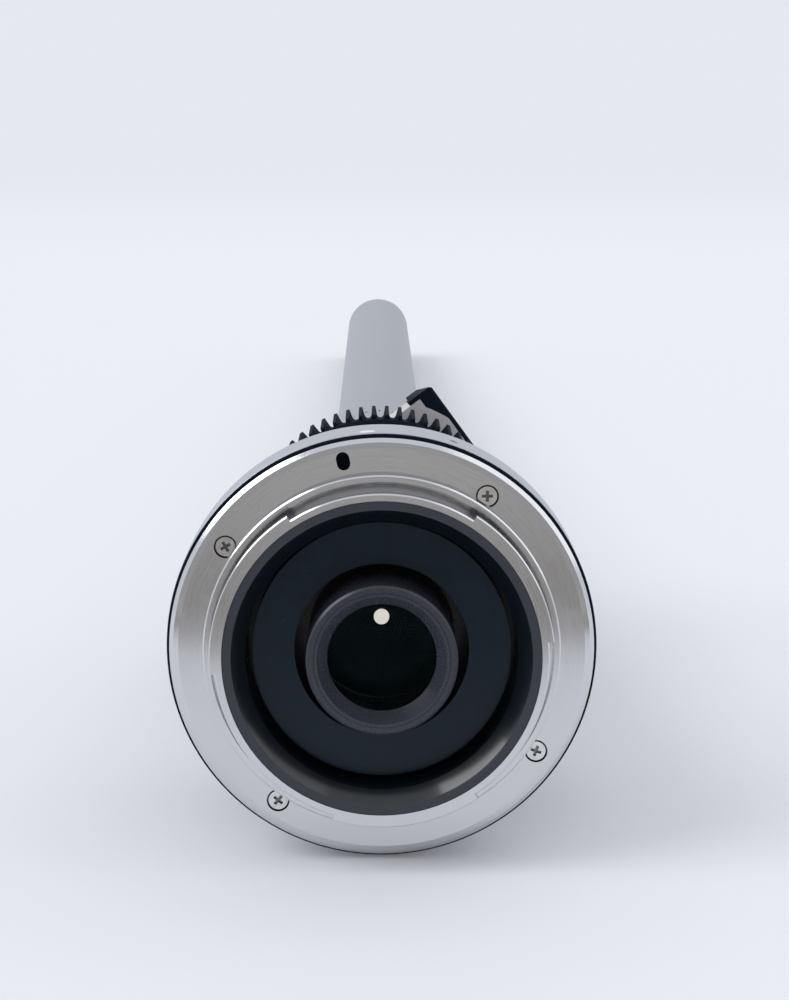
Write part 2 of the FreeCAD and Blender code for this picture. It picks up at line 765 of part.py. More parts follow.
def make_rear_barrel():
    """The wide grey barrel behind the aperture ring, with its index dot and grub screws."""
    bore = lens.throat_radius + lens.fixed_clearance
    throat_front = shim_front + lens.rear_barrel_throat_depth
    blank = turned("rear_barrel_blank", [
        (bore, shim_front),
        (lens.rear_barrel_radius - lens.rear_barrel_bevel, shim_front),
        (lens.rear_barrel_radius, shim_front + lens.rear_barrel_bevel),
        (lens.rear_barrel_radius, rear_barrel_front - lens.rear_barrel_bevel),
        (lens.rear_barrel_radius - lens.rear_barrel_bevel, rear_barrel_front),
        (lens.rear_shoulder_radius, rear_barrel_front + lens.rear_shoulder_drop),
        (lens.rear_nose_radius, nose_front),
        (lens.main_spigot_radius + lens.fixed_clearance, nose_front),
        (lens.main_spigot_radius + lens.fixed_clearance, throat_front),
        (bore, throat_front),
    ])
    cutters = [spoke("index_recess", lens.index_dot_radius + lens.fixed_clearance,
                     lens.rear_barrel_radius - lens.index_dot_depth, lens.rear_barrel_radius + 1,
                     lens.index_dot_station, lens.index_dot_angle)]
    for number, angle in enumerate(screw_angles()):
        cutters.append(rod("tapped_hole_%d" % number,
                           lens.mount_screw_shank_radius + lens.fixed_clearance, shim_front - OVERLAP,
                           lens.mount_screw_length - shim_front + 2 * OVERLAP,
                           lens.mount_screw_circle, angle))
    for number, angle in enumerate(grub_angles()):
        cutters.append(spoke("grub_hole_%d" % number, lens.grub_hole_radius + lens.fixed_clearance,
                             lens.throat_radius - OVERLAP, lens.rear_barrel_radius + 1,
                             lens.grub_hole_station, angle))
    keep("rear_barrel", cut("barrel_of_rear", blank, cutters))

    dot = spoke("dot_blank", lens.index_dot_radius, lens.rear_barrel_radius - lens.index_dot_depth,
                lens.rear_barrel_radius + 1, lens.index_dot_station, lens.index_dot_angle)
    skin = rod("dot_skin", lens.rear_barrel_radius, shim_front, lens.rear_barrel_length)
    crown = doc.addObject("Part::MultiCommon", "dot")
    crown.Shapes = [dot, skin]
    keep("index_dot", crown)

    grubs = []
    for number, angle in enumerate(grub_angles()):
        low = lens.throat_radius
        body = spoke("grub_%d" % number, lens.grub_hole_radius, low, low + lens.grub_screw_length,
                     lens.grub_hole_station, angle)
        key = spoke("grub_key_%d" % number, lens.grub_key_radius,
                    low + lens.grub_screw_length - lens.grub_key_depth, low + lens.grub_screw_length + 1,
                    lens.grub_hole_station, angle)
        grubs.append(cut("grub_screw_%d" % number, body, [key]))
    keep("barrel_grub_screws", group("grubs", grubs))


def make_rear_optics():
    """The black light baffle and the rear cell with its glass."""
    outer = lens.throat_radius - lens.fixed_clearance
    rear = lens.baffle_recess - lens.spigot_length
    floor_front = lens.baffle_floor_station + lens.baffle_floor_thickness
    disc_inner = lens.baffle_disc_radius - lens.baffle_disc_wall
    keep("rear_baffle", turned("baffle", [
        (lens.baffle_mouth_radius, rear),
        (outer, rear),
        (outer, floor_front),
        (disc_inner, floor_front),
        (disc_inner, lens.baffle_disc_wall),
        (lens.baffle_hole_radius, lens.baffle_disc_wall),
        (lens.baffle_hole_radius, 0),
        (lens.baffle_disc_radius, 0),
        (lens.baffle_disc_radius, lens.baffle_floor_station),
        (lens.baffle_throat_radius, lens.baffle_floor_station),
        (lens.baffle_throat_radius, rear + lens.baffle_mouth_depth),
    ]))

    cell_rear = -lens.rear_cell_overhang
    cell_front = cell_rear + lens.rear_cell_length
    lip = lens.rear_cell_bore - lens.rear_cell_lip
    keep("rear_cell", turned("cell_of_rear", [
        (lens.rear_cell_bore, cell_rear),
        (lens.rear_cell_radius - lens.rear_cell_bevel, cell_rear),
        (lens.rear_cell_radius, cell_rear + lens.rear_cell_bevel),
        (lens.rear_cell_radius, lens.rear_cell_flange_station),
        (core_radius, lens.rear_cell_flange_station),
        (core_radius, cell_flange_front),
        (lens.rear_cell_radius, cell_flange_front),
        (lens.rear_cell_radius, cell_front),
        (lip, cell_front),
        (lip, cell_front - lens.rear_cell_lip),
        (lens.rear_cell_bore, cell_front - lens.rear_cell_lip),
    ]))

    bore = lens.rear_cell_bore - lens.fixed_clearance
    glass_rear = cell_rear + lens.rear_glass_depth
    keep("rear_lens_retainer", turned("retainer_of_rear", [
        (bore - lens.retainer_rim_width, cell_rear),
        (bore, cell_rear),
        (bore, glass_rear),
        (lens.rear_glass_opening, glass_rear),
        (lens.rear_glass_opening, glass_rear - lens.retainer_land),
    ]))
    keep("rear_lens", glass("glass_of_rear", bore, glass_rear, lens.rear_lens_thickness,
                            lens.rear_lens_curve))
    spacer_rear = glass_rear + lens.rear_lens_thickness
    keep("cell_spacer", ring("spacer_of_cell", bore - lens.cell_spacer_wall, bore, spacer_rear,
                             lens.cell_spacer_length))
    keep("field_lens", glass("glass_of_field", bore, spacer_rear + lens.cell_spacer_length,
                             lens.field_lens_thickness, lens.field_lens_curve))


def make_main_barrel():
    """The tapered main barrel that carries the aperture ring and the focus ring."""
    rear = nose_front - lens.main_spigot_overlap
    blank = turned("main_barrel_blank", [
        (lens.main_bore_radius, rear),
        (lens.main_spigot_radius, rear),
        (lens.main_spigot_radius, nose_front),
        (lens.aperture_seat_radius, nose_front),
        (lens.aperture_seat_radius, collar_rear),
        (lens.main_collar_radius, collar_rear),
        (lens.main_collar_radius, cone_rear),
        (lens.main_cone_rear_radius, cone_rear + lens.end_gap),
        (lens.main_cone_front_radius, cone_front),
        (lens.main_neck_radius, neck_front),
        (lens.focus_seat_radius, neck_front),
        (lens.focus_seat_radius, main_front),
        (lens.main_bore_radius, main_front),
    ])
    pin_slot = lens.aperture_pin_radius + lens.aperture_pin_slack
    window = arc_block("aperture_window", lens.main_bore_radius - OVERLAP,
                       lens.aperture_seat_radius + OVERLAP, drive_middle - pin_slot, 2 * pin_slot,
                       aperture_pin_angle - slot_margin(lens.main_bore_radius),
                       lens.aperture_turn + 2 * slot_margin(lens.main_bore_radius))
    cutters = [window]
    reach = lens.focus_pin_radius + lens.focus_pin_slack
    for number, angle in enumerate(pin_angles()):
        slot_rear = spoke("key_slot_rear_%d" % number, reach, lens.main_bore_radius - 1,
                          lens.focus_seat_radius + 1, focus_pin_rear(), angle)
        slot_front = spoke("key_slot_front_%d" % number, reach, lens.main_bore_radius - 1,
                           lens.focus_seat_radius + 1, focus_pin_rear() + lens.focus_travel, angle)
        middle = box("key_slot_%d" % number, 2 * reach, lens.focus_travel,
                     lens.focus_seat_radius - lens.main_bore_radius + 2)
        low = lens.main_bore_radius - 1
        place(middle, low * sine(angle) - reach * cosine(angle), focus_pin_rear(),
              low * cosine(angle) + reach * sine(angle), about_axis(angle))
        cutters += [slot_rear, slot_front, middle]
    ball_seat = spoke("ball_seat", lens.click_ball_radius + lens.fixed_clearance,
                      click_ball_centre() - lens.click_spring_length - lens.click_ball_radius,
                      lens.aperture_seat_radius + 1, aperture_rear + lens.click_ball_inset, 0)
    cutters.append(ball_seat)
    keep("main_barrel", cut("barrel_of_body", blank, cutters))


def slot_margin(radius):
    """The angle that the aperture pin and its slack take up at a radius."""
    half = lens.aperture_pin_radius + lens.aperture_pin_slack
    return half / radius * math.degrees(1)


def pin_angles():
    """The angles of the three follower pins."""
    return [FULL_TURN / PIN_COUNT * number for number in range(PIN_COUNT)]


def focus_pin_rear():
    """The station of the follower pins with the focus at its far end."""
    return focus_rear + lens.focus_pin_station


def click_ball_centre():
    """The radius at which the click ball lies, pressed in flush with its seat."""
    return lens.aperture_seat_radius - lens.click_ball_radius


def make_aperture_ring():
    """The ribbed aperture ring, its drive pin, and the click ball with its spring."""
    bore = lens.aperture_seat_radius + lens.running_clearance
    bevel = lens.aperture_ring_bevel
    body = turned("aperture_ring_body", [
        (bore, aperture_rear),
        (lens.aperture_ring_radius - bevel, aperture_rear),
        (lens.aperture_ring_radius, aperture_rear + bevel),
        (lens.aperture_ring_radius, aperture_front - bevel),
        (lens.aperture_ring_radius - bevel, aperture_front),
        (bore, aperture_front),
    ])
    half = lens.aperture_rib_gap / 2
    floor = lens.aperture_ring_radius - lens.aperture_rib_depth
    flutes(body, "aperture_ribs", [
        (-half * 0.5, floor),
        (half * 0.5, floor),
        (half, lens.aperture_ring_radius + OVERLAP),
        (-half, lens.aperture_ring_radius + OVERLAP),
    ], aperture_rear + lens.aperture_scale_length,
        lens.aperture_ring_length - lens.aperture_scale_length - lens.aperture_rib_margin,
        lens.aperture_rib_count)
    flutes(body, "click_notches", [
        (-lens.click_ball_radius / 2, bore - OVERLAP),
        (lens.click_ball_radius / 2, bore - OVERLAP),
        (0, bore + lens.click_ball_radius / 2),
    ], aperture_rear + lens.click_ball_inset - lens.click_ball_radius, 2 * lens.click_ball_radius,
        lens.aperture_stops, -lens.aperture_turn)
    hole = spoke("aperture_pin_hole", lens.aperture_pin_radius + lens.fixed_clearance, bore - 1,
                 lens.aperture_ring_radius - 2 * lens.aperture_rib_depth, drive_middle, aperture_pin_angle)
    keep("aperture_ring", cut("ring_of_aperture", body, [hole]))
    keep("aperture_pin", spoke("pin_of_aperture", lens.aperture_pin_radius, iris_bore - 1.2,
                               lens.aperture_ring_radius - 2 * lens.aperture_rib_depth - lens.fixed_clearance,
                               drive_middle, aperture_pin_angle))

    ball = doc.addObject("Part::Sphere", "ball_of_click")
    bind(ball, "Radius", lens.click_ball_radius)
    place(ball, 0, aperture_rear + lens.click_ball_inset, click_ball_centre())
    keep("click_ball", ball)
    keep("click_spring", make_click_spring())


def make_click_spring():
    """The small coil spring under the click ball."""
    body = doc.addObject("PartDesign::Body", "spring_of_click")
    sketch = body.newObject("Sketcher::SketchObject", "spring_wire")
    sketch.AttachmentSupport = [(origin_part(body, "XZ_Plane"), "")]
    sketch.MapMode = "FlatFace"
    coil = lens.click_ball_radius - 2 * lens.click_spring_wire
    sketch.addGeometry(Part.Circle(FreeCAD.Vector(coil.value, 0, 0), FreeCAD.Vector(0, 0, 1),
                                   lens.click_spring_wire.value), False)
    sketch.addConstraint(Sketcher.Constraint("PointOnObject", 0, 3, -1))
    across = sketch.addConstraint(Sketcher.Constraint("DistanceX", -1, 1, 0, 3, coil.value))
    sketch.setExpression("Constraints[%d]" % across, coil.text)
    gauge = sketch.addConstraint(Sketcher.Constraint("Radius", 0, lens.click_spring_wire.value))
    sketch.setExpression("Constraints[%d]" % gauge, lens.click_spring_wire.text)
    helix = body.newObject("PartDesign::AdditiveHelix", "spring_turns")
    helix.Profile = sketch
    helix.ReferenceAxis = (sketch, ["V_Axis"])
    helix.Mode = 0
    bind(helix, "Pitch", lens.click_spring_pitch)
    bind(helix, "Height", lens.click_spring_length - 4 * lens.click_spring_wire)
    body.Tip = helix
    low = click_ball_centre() - lens.click_ball_radius - lens.click_spring_length + 2 * lens.click_spring_wire
    return place(body, 0, aperture_rear + lens.click_ball_inset, low)


def make_iris():
    """The iris: its cup, six stacked blades, the drive ring with cam slots, and the retainer."""
    keep("iris_spacer", ring("spacer_of_iris", core_radius - lens.iris_spacer_wall, core_radius,
                             cell_flange_front, lens.iris_spacer_length))
    cup_front = iris_rear + lens.iris_cup_length
    floor_front = iris_rear + lens.iris_cup_floor
    cup = turned("iris_cup", [
        (lens.iris_cup_opening, iris_rear),
        (core_radius, iris_rear),
        (core_radius, cup_front),
        (iris_bore, cup_front),
        (iris_bore, floor_front),
        (lens.iris_cup_opening, floor_front),
    ])
    pin_slot = lens.aperture_pin_radius + lens.aperture_pin_slack
    cutters = [arc_block("iris_window", iris_bore - OVERLAP, core_radius + OVERLAP,
                         drive_middle - pin_slot, 2 * pin_slot,
                         aperture_pin_angle - slot_margin(iris_bore),
                         lens.aperture_turn + 2 * slot_margin(iris_bore))]
    for number in range(BLADE_COUNT):
        cutters.append(rod("pivot_hole_%d" % number, lens.iris_pin_radius + lens.running_clearance,
                           iris_rear - OVERLAP, lens.iris_cup_floor + 2 * OVERLAP,
                           lens.iris_pivot_circle, blade_angle(number)))
    keep("iris_housing", cut("housing_of_iris", cup, cutters))

    for number in range(BLADE_COUNT):
        keep("iris_blade_%d" % (number + 1), make_blade(number))

    drive = doc.addObject("Part::Feature", "drive_of_iris")
    drive.Shape = drive_ring_shape()
    drive.Placement = FreeCAD.Placement(FreeCAD.Vector(0, drive_rear.value, 0), ALONG_Y)
    keep("iris_drive_ring", drive)

    drive_front = drive_rear + lens.iris_drive_thickness
    keep("iris_retainer", ring("retainer_of_iris", lens.iris_drive_opening, iris_bore - lens.fixed_clearance,
                               drive_front + lens.iris_drive_gap / 2, lens.iris_retainer_thickness))


def blade_angle(number):
    """The angle of a blade's pivot."""
    return FULL_TURN / BLADE_COUNT * number


def make_blade(number):
    """A curved blade at its own level, with its pivot pin and its drive pin."""
    label = "blade_%d" % (number + 1)
    angle = blade_angle(number)
    level = blade_rear + number * lens.iris_blade_step
    band = arc_block(label + "_band", lens.iris_blade_inner, lens.iris_blade_outer, level,
                     lens.iris_blade_thickness, angle, lens.iris_blade_span)
    lug_span = lens.iris_drive_pin_angle
    lug = arc_block(label + "_lug", lens.iris_blade_inner, lens.iris_pivot_circle + lens.iris_lug_radius / 2,
                    level, lens.iris_blade_thickness, angle, lug_span)
    heel = rod(label + "_heel", lens.iris_lug_radius, level, lens.iris_blade_thickness,
               lens.iris_pivot_circle, angle)
    toe = rod(label + "_toe", lens.iris_lug_radius, level, lens.iris_blade_thickness,
              lens.iris_drive_pin_circle, angle + lens.iris_drive_pin_angle)
    pivot = rod(label + "_pivot", lens.iris_pin_radius, iris_rear,
                level - iris_rear + lens.iris_blade_thickness, lens.iris_pivot_circle, angle)
    drive = rod(label + "_drive", lens.iris_pin_radius, level,
                drive_rear + lens.iris_drive_thickness - level, lens.iris_drive_pin_circle,
                angle + lens.iris_drive_pin_angle)
    return fuse(label + "_solid", [band, lug, heel, toe, pivot, drive])


def drive_ring_shape():
    """The drive ring in its own frame, with a cam slot that each drive pin follows exactly."""
    outer = (iris_bore - lens.running_clearance).value
    height = lens.iris_drive_thickness.value
    disc = Part.makeCylinder(outer, height)
    disc = disc.cut(Part.makeCylinder(lens.iris_drive_opening.value, height))
    radius = lens.iris_pin_radius.value + lens.iris_slot_clearance.value
    path = [cam_point(share) for share in (0.0, 0.25, 0.5, 0.75, 1.0)]
    slot = Part.makeCylinder(radius, height, path[0]).fuse(Part.makeCylinder(radius, height, path[-1]))
    for begin, middle, end in ((path[0], path[1], path[2]), (path[2], path[3], path[4])):
        slot = slot.fuse(arc_slot(begin, middle, end, radius, height))
    for number in range(BLADE_COUNT):
        turned_slot = slot.copy()
        turned_slot.rotate(FreeCAD.Vector(), FreeCAD.Vector(0, 0, 1), blade_angle(number))
        disc = disc.cut(turned_slot)
    pin_radius = lens.aperture_pin_radius.value + lens.fixed_clearance.value
    along_x = FreeCAD.Vector(1, 0, 0)
    pin_seat = Part.makeCylinder(pin_radius, outer, FreeCAD.Vector(iris_bore.value - 1.4, 0, height / 2),
                                 along_x)
    disc = disc.cut(pin_seat)
    return disc


def cam_point(share):
    """Where a drive pin stands in the drive ring when this share of the turn is done."""
    blade_turn = math.radians(lens.iris_blade_turn.value * share)
    ring_turn = math.radians(lens.aperture_turn.value * share)
    start = math.radians(lens.iris_drive_pin_angle.value)
    circle = lens.iris_drive_pin_circle.value
    pivot = lens.iris_pivot_circle.value
    out = circle * math.cos(start) - pivot
    along = circle * math.sin(start)
    out_now = out * math.cos(blade_turn) - along * math.sin(blade_turn)
    along_now = out * math.sin(blade_turn) + along * math.cos(blade_turn)
    radius = math.hypot(pivot + out_now, along_now)
    # The ring's own frame has its first axis at 90 degrees of the lens
    angle = math.atan2(along_now, pivot + out_now) - ring_turn - math.radians(90)
    return FreeCAD.Vector(radius * math.cos(angle), radius * math.sin(angle), 0)


def arc_slot(begin, middle, end, radius, height):
    """A slot of constant width along the arc through three points."""
    arc = Part.Arc(begin, middle, end).toShape().Curve
    centre = arc.Center
    inner = [centre + (point - centre) * (1 - radius / arc.Radius) for point in (begin, middle, end)]
    outer = [centre + (point - centre) * (1 + radius / arc.Radius) for point in (begin, middle, end)]
    edges = [
        Part.Arc(*inner).toShape(),
        Part.LineSegment(inner[2], outer[2]).toShape(),
        Part.Arc(outer[2], outer[1], outer[0]).toShape(),
        Part.LineSegment(outer[0], inner[0]).toShape(),
    ]
    face = Part.Face(Part.Wire(edges))
    return face.extrude(FreeCAD.Vector(0, 0, height))


def make_focus_ring():
    """The geared focus ring with three helical grooves in its bore."""
    bore = lens.focus_seat_radius + lens.running_clearance
    scale_rear = focus_front - lens.focus_scale_length
    teeth_rear = focus_rear + lens.focus_shoulder_length
    body = turned("focus_ring_body", [
        (bore, focus_rear),
        (lens.focus_face_radius, focus_rear),
        (lens.focus_face_radius + lens.focus_face_step, focus_rear + lens.focus_face_drop),
        (lens.focus_face_radius + lens.focus_face_step, teeth_rear),
        (lens.focus_tip_radius - lens.focus_tip_bevel, teeth_rear),
        (lens.focus_tip_radius, teeth_rear + lens.focus_tip_bevel),
        (lens.focus_tip_radius, scale_rear - lens.focus_tip_bevel),
        (lens.focus_tip_radius - lens.focus_tip_bevel, scale_rear),
        (lens.focus_scale_radius, scale_rear),
        (lens.focus_scale_radius, focus_front - lens.focus_tip_bevel),
        (lens.focus_scale_radius - lens.focus_tip_bevel, focus_front),
        (bore, focus_front),
    ])
    mouth = lens.focus_gap_mouth / 2
    waist = lens.focus_gap_waist / 2
    floor = lens.focus_gap_floor / 2
    flutes(body, "focus_teeth", [
        (-floor, lens.focus_root_radius),
        (floor, lens.focus_root_radius),
        (waist, lens.focus_root_radius + lens.focus_gap_round),
        (mouth, lens.focus_tip_radius + OVERLAP),
        (-mouth, lens.focus_tip_radius + OVERLAP),
        (-waist, lens.focus_root_radius + lens.focus_gap_round),
    ], teeth_rear, scale_rear - teeth_rear, lens.focus_tooth_count)

    half = lens.focus_pin_radius + lens.focus_pin_slack
    groove = outline_sketch(body, "cam_groove_outline", "YZ_Plane", rectangle(
        focus_pin_rear() - half, focus_pin_rear() + half,
        bore - OVERLAP, lens.focus_seat_radius + lens.focus_groove_depth))
    helix = body.newObject("PartDesign::SubtractiveHelix", "cam_groove")
    helix.Profile = groove
    helix.ReferenceAxis = (groove, ["H_Axis"])
    helix.Mode = 0
    bind(helix, "Pitch", lens.focus_travel * FULL_TURN / lens.focus_turn)
    bind(helix, "Height", lens.focus_travel)
    helix.LeftHanded = True
    repeat(body, "cam_grooves", helix, PIN_COUNT)
    pocket = half + lens.running_clearance
    reach = lens.focus_seat_radius + lens.focus_groove_depth + 2 * lens.running_clearance
    ends = []
    for number, angle in enumerate(pin_angles()):
        ends.append(spoke("cam_rear_end_%d" % number, pocket, bore - OVERLAP, reach,
                          focus_pin_rear(), angle))
        ends.append(spoke("cam_front_end_%d" % number, pocket, bore - OVERLAP, reach,
                          focus_pin_rear() + lens.focus_travel, angle - lens.focus_turn))
    keep("focus_ring", cut("ring_of_focus", body, ends))

    keep("focus_retainer", turned("nut_of_focus", [
        (lens.focus_seat_radius + lens.fixed_clearance, nut_rear),
        (lens.focus_nut_radius, nut_rear),
        (lens.focus_nut_radius, main_front - lens.focus_nut_bevel),
        (lens.focus_nut_radius - lens.focus_nut_bevel, main_front),
        (lens.focus_seat_radius + lens.fixed_clearance, main_front),
    ]))


def make_focus_group():
    """The sliding sleeve with its follower pins and the focusing glass."""
    outer = lens.main_bore_radius - lens.running_clearance
    front = focus_pin_rear() + lens.focus_sleeve_front_gap
    rear = front - lens.focus_sleeve_length
    inner = outer - lens.focus_sleeve_wall
    web_front = front - lens.focus_web_offset
    web_rear = web_front - lens.focus_web_thickness
    hub_front = web_front + lens.focus_hub_length / 2 - lens.focus_web_thickness / 2
    hub_rear = hub_front - lens.focus_hub_length
    bore = lens.focus_lens_radius + lens.fixed_clearance
    lip = bore - lens.focus_hub_lip
    blank = turned("focus_sleeve_blank", [
        (inner, rear),
        (outer, rear),
        (outer, front),
        (inner, front),
        (inner, web_front),
        (lens.focus_hub_radius, web_front),
        (lens.focus_hub_radius, hub_front),
        (lip, hub_front),
        (lip, hub_front - lens.focus_hub_lip),
        (bore, hub_front - lens.focus_hub_lip),
        (bore, hub_rear),
        (lens.focus_hub_radius, hub_rear),
        (lens.focus_hub_radius, web_rear),
        (inner, web_rear),
    ])
    holes = [spoke("follower_hole_%d" % number, lens.focus_pin_radius, inner - 1, outer + 1,
                   focus_pin_rear(), angle) for number, angle in enumerate(pin_angles())]
    keep("focus_sleeve", cut("sleeve_of_focus", blank, holes))
    reach = lens.focus_seat_radius + lens.focus_groove_depth - lens.focus_pin_slack
    pins = [spoke("follower_%d" % number, lens.focus_pin_radius - lens.fixed_clearance / 2, inner, reach,
                  focus_pin_rear(), angle) for number, angle in enumerate(pin_angles())]
    keep("focus_pins", group("followers", pins))

    front_glass_rear = hub_front - lens.focus_hub_lip - lens.focus_front_lens_thickness
    rear_glass_rear = front_glass_rear - lens.focus_lens_gap - lens.focus_rear_lens_thickness
    keep("focus_lens_front", glass("glass_of_focus_front", lens.focus_lens_radius, front_glass_rear,
                                   lens.focus_front_lens_thickness, lens.focus_lens_curve))
    keep("focus_lens_rear", glass("glass_of_focus_rear", lens.focus_lens_radius, rear_glass_rear,
                                  lens.focus_rear_lens_thickness, lens.focus_lens_curve))
    keep("focus_lens_retainer", ring("clip_of_focus", lens.focus_lens_radius - lens.focus_clip_width,
                                     lens.focus_lens_radius, rear_glass_rear - lens.focus_clip_thickness,
                                     lens.focus_clip_thickness))


def cone_radius(station):
    """The outside radius of the front cone at a station."""
    return lens.front_cone_radius - (station - main_front) * tangent(lens.front_cone_angle)


def make_front_barrel():
    """The tapered front barrel that holds the long tube, and the clamp collar."""
    spigot = lens.main_bore_radius - lens.fixed_clearance
    rear = main_front - lens.front_spigot_length
    bore_front = rear + lens.front_bore_length
    seat_rear = front_end - lens.probe_seat_margin
    seat = lens.probe_seat_radius + lens.fixed_clearance
    blank = turned("front_barrel_blank", [
        (lens.front_bore_radius, rear),
        (spigot, rear),
        (spigot, main_front),
        (lens.front_cone_radius, main_front),
        (lens.front_cone_end_radius, front_end),
        (lens.front_cone_end_radius, nose_end),
        (seat, nose_end),
        (seat, seat_rear),
        (lens.front_bore_end_radius, seat_rear),
        (lens.front_bore_end_radius, front_end - lens.front_bore_end_margin),
        (lens.front_bore_radius - lens.front_bore_step, bore_front),
        (lens.front_bore_radius, bore_front),
    ])
    hole = spoke("wire_hole", lens.wire_hole_radius, lens.wire_circle, lens.front_cone_radius + 1,
                 main_front + lens.wire_hole_offset, lens.control_angle)
    keep("front_barrel", cut("barrel_of_front", blank, [hole]))

    collar = turned("collar_blank", [
        (seat, nose_end),
        (lens.collar_radius, nose_end),
        (lens.collar_radius, collar_end - lens.collar_bevel),
        (lens.collar_radius - lens.collar_bevel, collar_end),
        (seat, collar_end),
    ])
    half = lens.collar_groove_width / 2
    flutes(collar, "collar_grooves", [
        (0, lens.collar_radius - lens.collar_groove_depth),
        (half, lens.collar_radius + OVERLAP / 4),
        (-half, lens.collar_radius + OVERLAP / 4),
    ], nose_end + lens.collar_groove_margin, lens.collar_length - 2 * lens.collar_groove_margin,
        lens.collar_groove_count)
    keep("tube_collar", collar)
    bore = lens.probe_radius - lens.probe_wall
    keep("probe_tube", turned("tube_of_probe", [
        (bore, seat_rear),
        (lens.probe_seat_radius, seat_rear),
        (lens.probe_seat_radius, collar_end),
        (lens.probe_radius, collar_end),
        (lens.probe_radius, lens.probe_front),
        (bore, lens.probe_front),
    ]))


def make_relay():
    """The inner tube that carries the picture up the probe, with its lens groups."""
    rear = main_front + lens.relay_rear_offset
    front = lens.probe_front + lens.tip_relay_depth
    bore = lens.relay_radius - lens.relay_wall
    keep("relay_tube", ring("tube_of_relay", bore, lens.relay_radius, rear, front - rear))
    keep("relay_carrier", ring("carrier_of_relay", lens.relay_radius + lens.fixed_clearance,
                               lens.front_bore_radius - lens.fixed_clearance,
                               main_front + lens.relay_carrier_offset - lens.relay_carrier_thickness / 2,
                               lens.relay_carrier_thickness))
    element = bore - lens.fixed_clearance
    first = rear + lens.relay_lens_rear_inset
    for number, name in enumerate(RELAY_NAMES):
        keep(name, glass("glass_of_" + name, element, first + number * lens.relay_lens_pitch,
                         lens.relay_lens_length, lens.relay_lens_curve))
    spacers = []
    for number in range(len(RELAY_NAMES) - 1):
        start = first + number * lens.relay_lens_pitch + lens.relay_lens_length + lens.relay_spacer_gap
        length = lens.relay_lens_pitch - lens.relay_lens_length - 2 * lens.relay_spacer_gap
        spacers.append(ring("relay_spacer_%d" % number, element - lens.relay_spacer_wall, element,
                            start, length))
    keep("relay_spacers", group("spacers_of_relay", spacers))


def control_frame():
    """The frame of the control box: its floor lies along the cone, its length runs forwards."""
    turn = FreeCAD.Rotation(AXIS_Y, lens.control_angle.value)
    tilt = FreeCAD.Rotation(FreeCAD.Vector(1, 0, 0), -lens.front_cone_angle.value)
    corner = FreeCAD.Vector(0, main_front.value + OVERLAP,
                            lens.front_cone_radius.value + lens.control_floor_gap.value)
    return FreeCAD.Placement(turn.multVec(corner), turn.multiply(tilt))


def control_half_width(station):
    """Half the width of the control box at a distance from its rear end."""
    narrowing = (lens.control_rear_half_width - lens.control_front_half_width) / lens.control_length
    return lens.control_rear_half_width - narrowing * station


def control_plan(inset=0, trim=0):
    """The plan of the control box, seen from outside, its front corners cut, one side trimmed."""
    rear = lens.control_rear_half_width - inset
    front = lens.control_front_half_width - inset
    corner = as_size(2.0)
    length = lens.control_length
    return [
        (trim - rear, inset),
        (rear, inset),
        (control_half_width(length - corner) - inset, length - corner),
        (front - corner, length - inset),
        (corner - front + trim, length - inset),
        (inset - control_half_width(length - corner) + trim, length - corner),
    ]


def in_control_frame(item):
    """Move an item from the box's own frame onto the lens."""
    item.Placement = control_frame().multiply(item.Placement)
    return item


def upright(name, radius, low, height, x, y):
    """A cylinder that stands up in the box's own frame."""
    solid = doc.addObject("Part::Cylinder", name)
    bind(solid, "Radius", radius)
    bind(solid, "Height", height)
    spot = [as_size(x).value, as_size(y).value, as_size(low).value]
    solid.Placement = FreeCAD.Placement(FreeCAD.Vector(*spot), FreeCAD.Rotation())
    return in_control_frame(solid)


def flat_box(name, low_x, high_x, low_y, high_y, low_z, high_z):
    """A block in the box's own frame."""
    block = box(name, high_x - low_x, high_y - low_y, high_z - low_z)
    corner = [as_size(low_x).value, as_size(low_y).value, as_size(low_z).value]
    block.Placement = FreeCAD.Placement(FreeCAD.Vector(*corner), FreeCAD.Rotation())
    return in_control_frame(block)


def round_bar(name, width, height, low_x, high_x, middle_y, middle_z):
    """A bar with round edges that points across the control box, like the shell of a socket."""
    radius = height / 2
    pieces = [flat_box(name + "_middle", low_x, high_x, middle_y - width / 2 + radius,
                       middle_y + width / 2 - radius, middle_z - radius, middle_z + radius)]
    across = FreeCAD.Rotation(AXIS_Y, 90)
    for side in (-1, 1):
        end = doc.addObject("Part::Cylinder", "%s_end_%d" % (name, side + 1))
        bind(end, "Radius", radius)
        bind(end, "Height", high_x - low_x)
        spot = [as_size(low_x).value, (middle_y + side * (width / 2 - radius)).value,
                as_size(middle_z).value]
        end.Placement = FreeCAD.Placement(FreeCAD.Vector(*spot), across)
        pieces.append(in_control_frame(end))
    return fuse(name, pieces)


